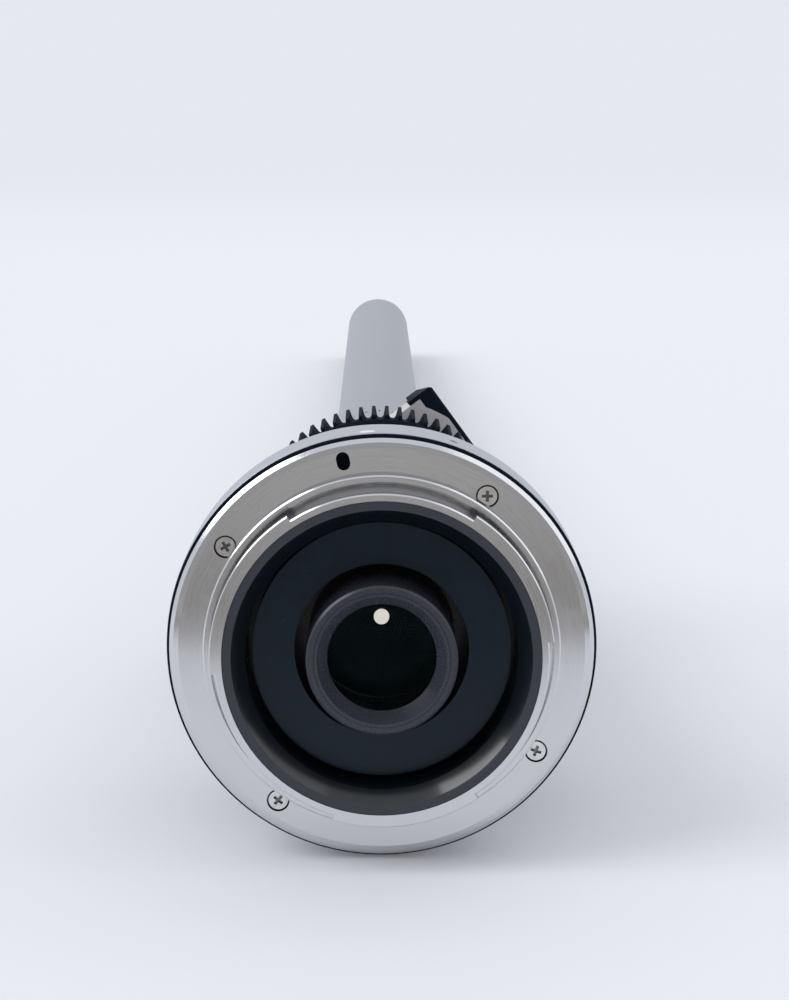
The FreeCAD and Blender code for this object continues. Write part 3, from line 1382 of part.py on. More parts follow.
def make_control_box():
    """The control box for the tip lights: base, cover, board, socket, switch and button."""
    top = lens.control_parting_height + lens.control_cover_height
    ceiling = top - lens.control_roof
    cavity = rectangle(-lens.control_cavity_half_width, lens.control_cavity_half_width,
                       lens.control_cavity_rear, lens.control_cavity_rear + lens.control_cavity_length)
    socket_high = control_half_width(lens.socket_station) - lens.socket_inset
    socket_low = socket_high - lens.socket_depth
    mouth = round_bar("socket_mouth", lens.socket_width + 2 * lens.socket_clearance,
                      lens.socket_height + 2 * lens.socket_clearance, socket_low - lens.socket_clearance,
                      socket_high + 2, lens.socket_station, lens.socket_rise)

    base = slab("control_base_blank", control_plan(0, lens.control_base_inset), -lens.control_base_depth,
                lens.control_base_depth + lens.control_parting_height)
    sink(base, "control_base_cavity", cavity, lens.control_cavity_floor,
         lens.control_parting_height - lens.control_cavity_floor + OVERLAP)
    base.Placement = control_frame()
    nut_room = lens.focus_nut_radius + lens.end_gap
    barrel_room = turned("control_saddle", [
        (0, main_front - lens.front_spigot_length),
        (nut_room, main_front - lens.front_spigot_length),
        (nut_room, main_front + lens.end_gap),
        (cone_radius(main_front + lens.end_gap) + lens.fixed_clearance, main_front + lens.end_gap),
        (lens.front_cone_end_radius + lens.fixed_clearance, front_end),
        (lens.front_cone_end_radius + lens.fixed_clearance, nose_end),
        (0, nose_end),
    ])
    screw_spots = control_screw_spots()
    shanks = [upright("control_tap_%d" % number, lens.control_screw_shank_radius + lens.fixed_clearance,
                      top - lens.control_screw_sink - lens.control_screw_length - OVERLAP,
                      lens.control_screw_length + 1, x, y)
              for number, (x, y) in enumerate(screw_spots)]
    wire_hole = spoke("control_wire_hole", lens.wire_hole_radius,
                      lens.front_cone_end_radius, lens.front_cone_radius + lens.control_parting_height,
                      main_front + lens.wire_hole_offset, lens.control_angle)
    plate = control_plate("control_plate", 0, lens.control_plate_thickness,
                          lens.control_plate_radius, 0)
    keep("control_base", cut("base_of_control", fuse("control_base_solid", [base, plate]),
                             [barrel_room, mouth, wire_hole] + shanks))

    bevel = lens.control_cover_bevel
    cover = slab("control_cover_blank", control_plan(), lens.control_parting_height,
                 lens.control_cover_height - bevel)
    lid = slab("control_cover_top", control_plan(bevel), top - bevel - OVERLAP / 4, bevel + OVERLAP / 4)
    slope = cover_bevel_solid(top, bevel)
    room = slab("control_cover_room", cavity, lens.control_parting_height - OVERLAP,
                ceiling - lens.control_parting_height + OVERLAP)
    for body in (cover, lid, room):
        body.Placement = control_frame()
    button_hole = upright("button_hole", lens.button_radius + lens.button_clearance, ceiling - OVERLAP,
                          lens.control_roof + 1, 0, lens.button_station)
    lamp_hole = upright("lamp_hole", lens.lamp_radius + lens.fixed_clearance, ceiling - OVERLAP,
                        lens.control_roof + 1, 0, lens.lamp_station)
    heads = [upright("control_head_room_%d" % number, lens.control_screw_head_radius + 0.1,
                     top - lens.control_screw_sink - lens.control_screw_head_height,
                     lens.control_screw_head_height + 1, x, y)
             for number, (x, y) in enumerate(screw_spots)]
    passages = [upright("control_passage_%d" % number,
                        lens.control_screw_shank_radius + lens.fixed_clearance,
                        lens.control_parting_height - OVERLAP, lens.control_cover_height + 1, x, y)
                for number, (x, y) in enumerate(screw_spots)]
    mouth_again = round_bar("socket_mouth_in_cover", lens.socket_width + 2 * lens.socket_clearance,
                            lens.socket_height + 2 * lens.socket_clearance,
                            socket_low - lens.socket_clearance, socket_high + 2, lens.socket_station,
                            lens.socket_rise)
    plate_room = control_plate("control_plate_room", -1,
                               lens.control_plate_thickness + lens.fixed_clearance,
                               lens.control_plate_radius + lens.fixed_clearance,
                               lens.fixed_clearance)
    half = lens.control_rear_half_width
    skirt = flat_box("control_skirt", -half, lens.control_base_inset - half - lens.fixed_clearance,
                     lens.fixed_clearance, lens.control_cavity_rear,
                     -lens.control_skirt_drop, lens.control_parting_height + OVERLAP)
    keep("control_cover", cut("cover_of_control", fuse("cover_blank", [cover, slope, lid, skirt]),
                              [room, button_hole, lamp_hole, mouth_again, plate_room]
                              + heads + passages))

    make_control_insides(top, ceiling, socket_low, socket_high)


def control_plate(name, rear, front, radius, clearance):
    """The rear wall of the base above the parting, rounded about the lens axis at its shoulders."""
    half = lens.control_rear_half_width
    wall = flat_box(name + "_wall", lens.control_base_inset - half - clearance, half + clearance,
                    rear, front, lens.control_parting_height - OVERLAP - clearance,
                    lens.control_plate_height + clearance)
    drum = rod(name + "_drum", radius, main_front - lens.front_spigot_length,
               lens.control_length)
    plate = doc.addObject("Part::MultiCommon", name)
    plate.Shapes = [wall, drum]
    return plate


def cover_bevel_solid(top, bevel):
    """The sloped rim of the cover, between its walls and its flat top."""
    low = [FreeCAD.Vector(as_size(a).value, as_size(b).value, (top - bevel).value - OVERLAP / 8)
           for a, b in control_plan()]
    high = [FreeCAD.Vector(as_size(a).value, as_size(b).value, top.value)
            for a, b in control_plan(bevel)]
    loft = doc.addObject("Part::Feature", "control_cover_slope")
    wires = [Part.makePolygon(corners + corners[:1]) for corners in (low, high)]
    loft.Shape = Part.makeLoft(wires, True, True)
    loft.Placement = control_frame()
    return loft


def control_screw_spots():
    """Where the four cover screws stand in the box's own frame."""
    spots = []
    for station in (lens.control_screw_inset, lens.control_length - lens.control_screw_inset):
        across = control_half_width(station) - lens.control_screw_inset
        spots += [(-across, station), (across, station)]
    return spots


def make_control_insides(top, ceiling, socket_low, socket_high):
    """The cover screws, board, socket, switch, button and lamp of the control box."""
    head_top = top - lens.control_screw_sink
    screws = []
    for number, (x, y) in enumerate(control_screw_spots()):
        head = upright("control_head_%d" % number, lens.control_screw_head_radius,
                       head_top - lens.control_screw_head_height, lens.control_screw_head_height, x, y)
        shank = upright("control_shank_%d" % number, lens.control_screw_shank_radius,
                        head_top - lens.control_screw_length, lens.control_screw_length, x, y)
        slots = []
        for turn in (0, 1):
            wide = lens.control_screw_head_radius * (0.6 if turn else 0.16)
            deep = lens.control_screw_head_radius * (0.16 if turn else 0.6)
            slots.append(flat_box("control_slot_%d_%d" % (number, turn), x - wide, x + wide,
                                  y - deep, y + deep, head_top - lens.control_screw_head_height / 2,
                                  head_top + 1))
        screws.append(cut("control_screw_%d" % number,
                          fuse("control_screw_blank_%d" % number, [head, shank]), slots))
    keep("control_screws", group("screws_of_control", screws))

    half = lens.control_cavity_half_width - lens.board_margin
    board_rear = lens.control_cavity_rear + lens.board_margin
    board_top = lens.control_cavity_floor + lens.board_thickness
    board = flat_box("board_blank", -half, half, board_rear,
                     board_rear + lens.control_cavity_length - 2 * lens.board_margin,
                     lens.control_cavity_floor, board_top)
    notch = round_bar("board_notch", lens.socket_width + 2 * lens.socket_clearance,
                      lens.socket_height + 2 * lens.socket_clearance, socket_low - lens.socket_clearance,
                      socket_high, lens.socket_station, lens.socket_rise)
    keep("circuit_board", cut("board_of_control", board, [notch]))

    shell = round_bar("socket_shell", lens.socket_width, lens.socket_height, socket_low, socket_high,
                      lens.socket_station, lens.socket_rise)
    hollow = round_bar("socket_hollow", lens.socket_width - 2 * lens.socket_wall,
                       lens.socket_height - 2 * lens.socket_wall, socket_low + 1, socket_high + 1,
                       lens.socket_station, lens.socket_rise)
    tongue = flat_box("socket_tongue", socket_low + 0.5, socket_high - 0.8,
                      lens.socket_station - lens.socket_tongue_width / 2,
                      lens.socket_station + lens.socket_tongue_width / 2,
                      lens.socket_rise - lens.socket_tongue_thickness / 2,
                      lens.socket_rise + lens.socket_tongue_thickness / 2)
    keep("usb_socket", fuse("socket_of_usb", [cut("socket_tube", shell, [hollow]), tongue]))

    keep("tact_switch", flat_box("switch_of_control", -lens.switch_width / 2, lens.switch_width / 2,
                                 lens.button_station - lens.switch_width / 2,
                                 lens.button_station + lens.switch_width / 2, board_top,
                                 board_top + lens.switch_height))

    flange_top = ceiling - lens.button_roof_gap
    flange_low = flange_top - lens.button_flange_thickness
    cap_top = top + lens.button_proud
    button = turned_upright("button_blank", [
        (0, flange_low),
        (lens.button_flange_radius, flange_low),
        (lens.button_flange_radius, flange_top),
        (lens.button_radius, flange_top),
        (lens.button_radius, cap_top - lens.button_bevel),
        (lens.button_radius - lens.button_bevel, cap_top),
        (0, cap_top),
    ])
    spot = FreeCAD.Placement(FreeCAD.Vector(0, lens.button_station.value, 0), FreeCAD.Rotation())
    button.Placement = control_frame().multiply(spot)
    keep("power_button", button)
    keep("indicator_lamp", upright("lamp_of_control", lens.lamp_radius, ceiling, lens.control_roof, 0,
                                   lens.lamp_station))


def turned_upright(name, corners):
    """A body turned about the upright axis of its own frame."""
    body = doc.addObject("PartDesign::Body", name)
    sketch = outline_sketch(body, name + "_outline", "XZ_Plane", corners)
    turn = body.newObject("PartDesign::Revolution", name + "_turn")
    turn.Profile = sketch
    turn.ReferenceAxis = (sketch, ["V_Axis"])
    turn.Angle = FULL_TURN
    body.Tip = turn
    return body


def make_tip():
    """The tip: its housing, seal, ring of lights, window, and the front cell with its glass."""
    spigot = lens.probe_radius - lens.probe_wall - lens.fixed_clearance
    rear = lens.probe_front - lens.tip_spigot_length
    relay_end = lens.probe_front + lens.tip_relay_depth
    web_front = relay_end + lens.tip_web_thickness
    seat = tip_end - lens.tip_window_front_inset - lens.window_thickness
    relay_bore = lens.relay_radius + lens.fixed_clearance
    cell_bore = lens.front_cell_radius + lens.fixed_clearance
    groove_front = lens.probe_front - lens.seal_offset
    groove_rear = groove_front - lens.seal_groove_width
    blank = turned("tip_blank", [
        (relay_bore, rear),
        (spigot, rear),
        (spigot, groove_rear),
        (spigot - lens.seal_groove_depth, groove_rear),
        (spigot - lens.seal_groove_depth, groove_front),
        (spigot, groove_front),
        (spigot, lens.probe_front),
        (lens.probe_radius, lens.probe_front),
        (lens.probe_radius, tip_end - lens.tip_bevel),
        (lens.probe_radius - lens.tip_bevel, tip_end),
        (lens.tip_window_seat_radius, tip_end),
        (lens.tip_window_seat_radius, seat),
        (lens.tip_recess_radius, seat),
        (lens.tip_recess_radius, web_front),
        (cell_bore, web_front),
        (cell_bore, relay_end),
        (relay_bore, relay_end),
    ])
    hole = rod("tip_wire_hole", lens.wire_radius + 0.1, rear - 1, web_front - rear + 2,
               lens.wire_circle, lens.control_angle)
    keep("tip_housing", cut("housing_of_tip", blank, [hole]))

    seal = doc.addObject("Part::Torus", "seal_of_tip")
    bind(seal, "Radius1", spigot - lens.seal_radius)
    bind(seal, "Radius2", lens.seal_radius)
    place(seal, 0, groove_front - lens.seal_groove_width / 2, 0, ALONG_Y)
    keep("tip_seal", seal)

    board_outer = lens.tip_recess_radius - lens.fixed_clearance
    keep("led_board", ring("board_of_leds", cell_bore, board_outer, web_front,
                           lens.led_board_thickness))
    lamps = []
    count = int(round(lens.led_count.value))
    for number in range(count):
        angle = as_size(FULL_TURN * number) / lens.led_count
        lamp = box("led_%d" % number, lens.led_width, lens.led_height, lens.led_width)
        low = lens.led_circle - lens.led_width / 2
        place(lamp, low * sine(angle) - lens.led_width / 2 * cosine(angle),
              web_front + lens.led_board_thickness,
              low * cosine(angle) + lens.led_width / 2 * sine(angle), about_axis(angle))
        lamps.append(lamp)
    keep("leds", group("lamps_of_tip", lamps))
    keep("led_window", ring("window_of_tip", cell_bore, lens.tip_window_seat_radius - lens.fixed_clearance,
                            seat, lens.window_thickness))

    cell_front = tip_end - lens.front_cell_end_inset
    cell_rear = cell_front - lens.front_cell_length
    bore = lens.front_cell_radius - lens.front_cell_wall
    lip = bore - lens.front_cell_lip_width
    keep("front_cell", turned("cell_of_front", [
        (bore, cell_rear),
        (lens.front_cell_radius, cell_rear),
        (lens.front_cell_radius, cell_front),
        (lip, cell_front),
        (bore, cell_front - lens.front_cell_lip),
    ]))
    keep("front_lens", glass("glass_of_front", bore - lens.fixed_clearance,
                             cell_front - lens.front_cell_lip - lens.front_lens_thickness,
                             lens.front_lens_thickness, lens.front_lens_curve))


def make_wire():
    """The lamp wire: from the board, through the cone, and along the inner tube to the tip."""
    start = main_front + lens.wire_hole_offset
    board_low = (lens.front_cone_radius + lens.control_floor_gap + lens.control_cavity_floor
                 - lens.wire_hole_offset * tangent(lens.front_cone_angle))
    end = lens.probe_front + lens.tip_relay_depth + lens.tip_web_thickness
    route = [
        (board_low.value - 0.1, start.value),
        (lens.wire_bend_circle.value, start.value),
        (lens.wire_circle.value, (start + lens.wire_slope_length).value),
        (lens.wire_circle.value, end.value),
    ]
    spots = [FreeCAD.Vector(0, station, radius) for radius, station in route]
    edges = []
    begin = spots[0]
    for before, corner, after in zip(spots, spots[1:], spots[2:]):
        back = (before - corner).normalize()
        ahead = (after - corner).normalize()
        half_turn = (math.pi - back.getAngle(ahead)) / 2
        run = min((before - corner).Length, (after - corner).Length)
        radius = 0.45 * run / math.tan(half_turn)
        first = corner + back * (0.45 * run)
        last = corner + ahead * (0.45 * run)
        centre = corner + (back + ahead).normalize() * (radius / math.cos(half_turn))
        middle = centre + (corner - centre).normalize() * radius
        edges.append(Part.LineSegment(begin, first).toShape())
        edges.append(Part.Arc(first, middle, last).toShape())
        begin = last
    edges.append(Part.LineSegment(begin, spots[-1]).toShape())
    path = Part.Wire(edges)
    section = Part.Wire(Part.makeCircle(lens.wire_radius.value, spots[0], spots[1] - spots[0]))
    wire = doc.addObject("Part::Feature", "wire_of_leds")
    wire.Shape = path.makePipeShell([section], True, False)
    wire.Placement = FreeCAD.Placement(FreeCAD.Vector(), about_axis(lens.control_angle))
    keep("led_wire", wire)


make_mount()
make_rear_barrel()
make_rear_optics()
make_main_barrel()
make_aperture_ring()
make_iris()
make_focus_ring()
make_focus_group()
make_front_barrel()
make_relay()
make_control_box()
make_tip()
make_wire()
doc.recompute()

failed = [item.Name for item in doc.Objects if "Invalid" in item.State or "Error" in item.State]
for name, item in sub_parts.items():
    shape = item.Shape
    if shape.isNull() or not shape.isValid() or not shape.Solids:
        failed.append(name)
if failed:
    raise RuntimeError("these objects failed: " + ", ".join(failed))

os.makedirs("parts", exist_ok=True)
for name, item in sub_parts.items():
    item.Shape.exportStep("parts/%s.step" % name)
    bounds = item.Shape.BoundBox
    print("%-22s %d solids, volume %9.1f, y %7.2f to %7.2f, reach %6.2f" % (
        name, len(item.Shape.Solids), item.Shape.Volume, bounds.YMin, bounds.YMax,
        max(abs(bounds.XMin), abs(bounds.XMax), abs(bounds.ZMin), abs(bounds.ZMax))))
print("%d sub-parts, tip at %.1f" % (len(sub_parts), tip_end.value))
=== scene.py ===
"""Probe lens, dressed: finishes for every node of the frame, its small details, and the studio.

The lens axis runs along +Y, the origin is the middle of the mount's flange face, and an angle
about the axis is counted clockwise from the top as seen from behind the mount. Sizes in the
classes are in millimetres and degrees, and meshes and the studio are in metres.
"""

import json
import logging
import math
from abc import ABC, abstractmethod
from dataclasses import dataclass
from enum import Enum
from functools import cache
from typing import Any, Iterable, Sequence

import bmesh
import bpy
from mathutils import Matrix, Vector


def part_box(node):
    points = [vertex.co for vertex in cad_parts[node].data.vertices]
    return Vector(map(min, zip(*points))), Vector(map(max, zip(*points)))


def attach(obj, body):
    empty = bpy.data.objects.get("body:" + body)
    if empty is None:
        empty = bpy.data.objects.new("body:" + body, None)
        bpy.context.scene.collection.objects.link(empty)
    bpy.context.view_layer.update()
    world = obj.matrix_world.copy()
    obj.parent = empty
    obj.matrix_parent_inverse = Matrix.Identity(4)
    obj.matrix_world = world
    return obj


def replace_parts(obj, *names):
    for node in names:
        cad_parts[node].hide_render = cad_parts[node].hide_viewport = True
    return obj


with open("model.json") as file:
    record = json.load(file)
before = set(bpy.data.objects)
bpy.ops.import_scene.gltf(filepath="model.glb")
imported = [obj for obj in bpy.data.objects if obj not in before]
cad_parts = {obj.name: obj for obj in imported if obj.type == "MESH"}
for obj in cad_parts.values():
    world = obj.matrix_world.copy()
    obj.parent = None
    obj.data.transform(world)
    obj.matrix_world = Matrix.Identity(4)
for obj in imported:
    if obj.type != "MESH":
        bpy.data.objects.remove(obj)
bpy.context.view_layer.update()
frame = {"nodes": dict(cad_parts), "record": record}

LOG = logging.getLogger("probe_lens")
MM = 0.001
FULL_TURN = 360.0
AXIS_MERGE = 1e-8
SEAM_MERGE = 1e-7
Triple = tuple[float, float, float]
Colour = Triple
Span = tuple[float, float]
Names = tuple[str, ...]
Number = float | int


class Body(str, Enum):
    """The bodies of the frame that pieces of this scene ride on."""

    LENS = "lens_body"
    APERTURE = "aperture_ring"
    FOCUS = "focus_ring"
    BUTTON = "power_button"


class Ray(str, Enum):
    """The kinds of ray that a material or the room tells apart."""

    CAMERA = "Is Camera Ray"
    GLOSSY = "Is Glossy Ray"
    THROUGH = "Is Transmission Ray"


def turn(angle: float) -> Matrix:
    """The rotation about the lens axis that carries the top to an angle in degrees."""
    return Matrix.Rotation(math.radians(angle), 4, "Y")


def grey(level: float) -> Colour:
    """A neutral colour."""
    return (level, level, level)


def shades(colour: Colour, dark: float, pale: float) -> tuple[Colour, Colour]:
    """A darker and a paler shade of a colour, each as a share of it."""
    return (tuple(dark * part for part in colour),
            tuple(min(1.0, pale * part) for part in colour))


def placed(name: str, data: Any) -> Any:
    """Put a new object into the scene.

    Args:
        name: the object's name.
        data: its mesh, curve, camera or light.

    Returns:
        The object.
    """
    item = bpy.data.objects.new(name, data)
    bpy.context.scene.collection.objects.link(item)
    return item


@dataclass(frozen=True)
class Noise:
    """A cloudy noise: its scale, its detail, and how rough its finer parts are."""

    scale: float
    detail: float = 3.0
    roughness: float = 0.55


class Value:
    """A number, colour or closure inside a node tree, used in plain expressions."""

    def __init__(self, graph: "Graph", socket: Any) -> None:
        """Wrap an output socket of a node."""
        self.graph = graph
        self.socket = socket

    def operate(self, operation: str, *values: "Value | Number") -> "Value":
        """Feed values to a Math node."""
        return self.graph.node("ShaderNodeMath", {"operation": operation},
                               dict(enumerate(values)))

    def __add__(self, other: "Value | Number") -> "Value":
        """This value and another, added."""
        return self.operate("ADD", self, other)

    def __sub__(self, other: "Value | Number") -> "Value":
        """This value less another."""
        return self.operate("SUBTRACT", self, other)

    def __rsub__(self, other: Number) -> "Value":
        """A number less this value."""
        return self.operate("SUBTRACT", other, self)

    def __mul__(self, other: "Value | Number") -> "Value":
        """This value times another."""
        return self.operate("MULTIPLY", self, other)

    def __truediv__(self, other: "Value | Number") -> "Value":
        """This value over another."""
        return self.operate("DIVIDE", self, other)

    __radd__ = __add__
    __rmul__ = __mul__

    def most(self, other: "Value | Number") -> "Value":
        """The larger of this value and another."""
        return self.operate("MAXIMUM", self, other)

    def sine(self) -> "Value":
        """The sine of this value."""
        return self.operate("SINE", self)

    def bearing(self, other: "Value") -> "Value":
        """The angle whose tangent is this value over another, all the way round."""
        return self.operate("ARCTAN2", self, other)

    def swing(self, amount: float) -> "Value":
        """How far this value is from 0.5, times an amount."""
        return (self - 0.5) * amount

    def mix(self, other: "Value", share: float) -> "Value":
        """This value by its share, and another by the rest."""
        return self * share + other * (1 - share)

    def step(self, low: float, high: float) -> "Value":
        """A smooth step from 0 at low to 1 at high."""
        return self.graph.node("ShaderNodeMapRange", {"interpolation_type": "SMOOTHSTEP"},
                               {"Value": self, "From Min": low, "From Max": high})


class Graph:
    """A node tree, and the ways to add to it."""

    def __init__(self, tree: Any) -> None:
        """Take a tree and empty it."""
        self.tree = tree
        self.tree.nodes.clear()

    def add(self, kind: str, settings: dict[str, Any] | None = None,
            inputs: dict[Any, Any] | None = None) -> Any:
        """Add a node.

        Args:
            kind: the node's type.
            settings: its own settings, set first.
            inputs: values or links for its sockets, by name or number.

        Returns:
            The node.
        """
        node = self.tree.nodes.new(kind)
        for name, setting in (settings or {}).items():
            setattr(node, name, setting)
        for name, value in (inputs or {}).items():
            self.feed(node.inputs[name], value)
        return node

    def node(self, kind: str, settings: dict[str, Any] | None = None,
             inputs: dict[Any, Any] | None = None, output: int | str = 0) -> Value:
        """Add a node as add does, and take the output of this name or number."""
        return Value(self, self.add(kind, settings, inputs).outputs[output])

    def feed(self, socket: Any, value: Any) -> None:
        """Give a socket what it is to have.

        Args:
            socket: the input socket.
            value: a link, a number, a vector or a colour.
        """
        if isinstance(value, Value):
            self.tree.links.new(value.socket, socket)
        elif isinstance(value, tuple) and len(value) == 3 and len(socket.default_value) == 4:
            socket.default_value = (*value, 1.0)
        else:
            socket.default_value = value

    def split(self, vector: Value) -> tuple[Value, Value, Value]:
        """The three numbers of a vector."""
        node = self.add("ShaderNodeSeparateXYZ", inputs={0: vector})
        return tuple(Value(self, output) for output in node.outputs)

    def combined(self, x: Value, y: Value, z: Value | Number = 0.0) -> Value:
        """A vector of three numbers."""
        return self.node("ShaderNodeCombineXYZ", inputs={0: x, 1: y, 2: z})

    def length(self, vector: Value) -> Value:
        """The length of a vector."""
        return self.node("ShaderNodeVectorMath", {"operation": "LENGTH"}, {0: vector}, "Value")

    def ray(self, kind: Ray) -> Value:
        """1 for rays of a kind and 0 for all others."""
        return self.node("ShaderNodeLightPath", output=kind.value)

    def mixed(self, factor: Value, low: Value, high: Value) -> Value:
        """One closure where a factor is 0 and another where it is 1."""
        return self.node("ShaderNodeMixShader", inputs={0: factor, 1: low, 2: high})


class Shader(Graph):
    """A material in the making: one Principled surface and the nodes that feed it."""

    def __init__(self, name: str) -> None:
        """Make a new material.

        Args:
            name: the material's name.
        """
        self.material = bpy.data.materials.new(name)
        self.material.use_nodes = True
        super().__init__(self.material.node_tree)
        self.surface = self.add("ShaderNodeBsdfPrincipled")
        self.plain = Value(self, self.surface.outputs[0])
        self.output = self.add("ShaderNodeOutputMaterial", inputs={"Surface": self.plain})

    def set(self, **sockets: Any) -> None:
        """Set the surface's own sockets, with underscores for the spaces in their names."""
        for name, value in sockets.items():
            self.feed(self.surface.inputs[name.replace("_", " ")], value)

    def place(self) -> Value:
        """The point of the surface in the frame of the lens."""
        return self.node("ShaderNodeTexCoord", output="Object")

    def stretched(self, vector: Value, scale: Triple) -> Value:
        """A vector scaled along each axis."""
        return self.node("ShaderNodeVectorMath", {"operation": "MULTIPLY"}, {0: vector, 1: scale})

    def polar(self) -> tuple[Value, Value, Value]:
        """Radius from the lens axis in mm, station along it in mm, and angle in radians."""
        x, y, z = self.split(self.place())
        return self.length(self.combined(x, z)) / MM, y / MM, x.bearing(z)

    def noise(self, vector: Value, noise: Noise) -> Value:
        """Cloudy noise from 0 to 1."""
        return self.node("ShaderNodeTexNoise", {"noise_dimensions": "3D"}, {
            "Vector": vector, "Scale": noise.scale, "Detail": noise.detail,
            "Roughness": noise.roughness})

    def blend(self, factor: Value, low: Any, high: Any) -> Value:
        """A colour between two colours."""
        return self.node("ShaderNodeMix", {"data_type": "RGBA"},
                         {"Factor": factor, 6: low, 7: high}, 2)

    def glow(self, colour: Any) -> Value:
        """A closure that shines in a colour at a strength of 1."""
        return self.node("ShaderNodeEmission", inputs={"Color": colour, "Strength": 1.0})

    def bump(self, height: Value, strength: float, distance: float) -> None:
        """Raise the surface.

        Args:
            height: the height, from 0 to 1.
            strength: how much of it is felt.
            distance: the height of 1, in mm.
        """
        self.set(Normal=self.node("ShaderNodeBump", inputs={
            "Strength": strength, "Distance": distance * MM, "Height": height}))

    def show(self, closure: Value) -> None:
        """Show another closure than the plain surface."""
        self.feed(self.output.inputs["Surface"], closure)


@dataclass(frozen=True)
class Dust:
    """Specks of dust: how much they cover, their colour, and the span of noise where they lie."""

    amount: float
    colour: Colour
    noise: Noise
    span: Span

    def on(self, shader: Shader, body: Value) -> Value:
        """The colour of a surface with the dust on it."""
        specks = shader.noise(shader.place(), self.noise).step(*self.span)
        return shader.blend(specks * self.amount, body, self.colour)


@dataclass(frozen=True)
class Wells:
    """The screw seats of a plate: between two radii and beyond a station, their floors painted
    darker: painted shade in the seats, with some grime.
    """

    inner: float
    outer: float
    station: float
    edge: float = 0.05
    shade_and_grime: Colour = grey(0.06)

    def floors(self, reach: Value, station: Value) -> Value:
        """1 on the floors of the wells and 0 elsewhere."""
        return (station.step(self.station, self.station + 2 * self.edge)
                * reach.step(self.inner - self.edge, self.inner + self.edge)
                * (1 - reach.step(self.outer - self.edge, self.outer + self.edge)))


@dataclass(frozen=True)
class Rim:
    """The wall of a light trap: polished on its bevel, painted a darker, neutral black on its wall
    and paler at its rim.

    The darker wall is painted shade inside the trap, and the paler flat rim is painted light that
    the rim catches. The wall and the rim lie beyond a radius each, and the rim and the bevel behind
    a station each.
    """

    wall_radius: float
    painted_rim_radius: float
    painted_rim_station: float
    bevel_station: float
    wall_edge: float = 0.05
    painted_rim_edge: float = 0.1
    # Painted shade: the wall is painted a darker black. Painted light: the flat rim is painted
    # paler.
    painted_wall_shade: Colour = (0.003, 0.006, 0.009)
    painted_rim_light: Colour = (0.047, 0.050, 0.065)
    polish: float = 0.9
    polish_roughness: float = 0.13

    def wall(self, reach: Value) -> Value:
        """1 on the wall and 0 inside it."""
        return reach.step(self.wall_radius, self.wall_radius + self.wall_edge)

    def painted_rim(self, reach: Value, station: Value) -> Value:
        """1 on the flat rim that is painted paler, and 0 elsewhere."""
        return (reach.step(self.painted_rim_radius - self.painted_rim_edge, self.painted_rim_radius)
                * (1 - station.step(self.painted_rim_station, self.painted_rim_station + self.painted_rim_edge)))

    def bevel(self, station: Value) -> Value:
        """1 behind the front of the bevel and 0 ahead of it."""
        return 1 - station.step(self.bevel_station - self.painted_rim_edge, self.bevel_station)


@dataclass(frozen=True)
class Finish(ABC):
    """A named look, which sets the surface of its own material."""

    name: str

    @abstractmethod
    def paint(self, shader: Shader) -> None:
        """Set the surface.

        Args:
            shader: the material in the making.
        """


@dataclass(frozen=True)
class TurnedMetal(Finish):
    """Bright plated metal off a lathe, with rings of tool marks and fine handling marks."""

    colour: Colour
    roughness: float
    ring_pitch: float = 0.11
    ring_depth: float = 0.022
    cloud: float = 0.10
    smear: float = 0.05
    wells: Wells | None = None
    tones: Span = (0.72, 1.18)
    ring_twist: float = 1.6
    streak_grain: float = 0.35
    streak_twist: float = 3.0
    mark_noise: Noise = Noise(1.0, 4.0, 0.7)
    streak_noise: Noise = Noise(1.0)
    smear_noise: Noise = Noise(260.0, 4.0)
    mark_gloss: float = 0.16
    smear_gloss: float = 0.08

    def paint(self, shader: Shader) -> None:
        """Set the surface.

        Args:
            shader: the material in the making.
        """
        reach, station, angle = shader.polar()
        rings = shader.combined(reach / self.ring_pitch, station / self.ring_pitch,
                                angle * self.ring_twist)
        streaks = shader.combined(reach * self.streak_grain, station * self.streak_grain,
                                  angle * self.streak_twist)
        marks = shader.noise(rings, self.mark_noise)
        clouds = shader.noise(streaks, self.streak_noise)
        smears = shader.noise(shader.place(), self.smear_noise)
        tone = marks.swing(self.cloud) + clouds.swing(self.cloud) + smears.swing(self.smear)
        body = shader.blend((tone + 0.5).step(0.0, 1.0), *shades(self.colour, *self.tones))
        if self.wells:
            # The floors of the screw wells are painted darker: painted shade in the seats, with
            # some grime.
            body = shader.blend(self.wells.floors(reach, station), body, self.wells.shade_and_grime)
        shader.set(Base_Color=body, Metallic=1.0,
                   Roughness=(self.roughness + marks.swing(self.mark_gloss)
                              + smears.swing(self.smear_gloss)))
        shader.bump(marks, strength=1.0, distance=self.ring_depth)


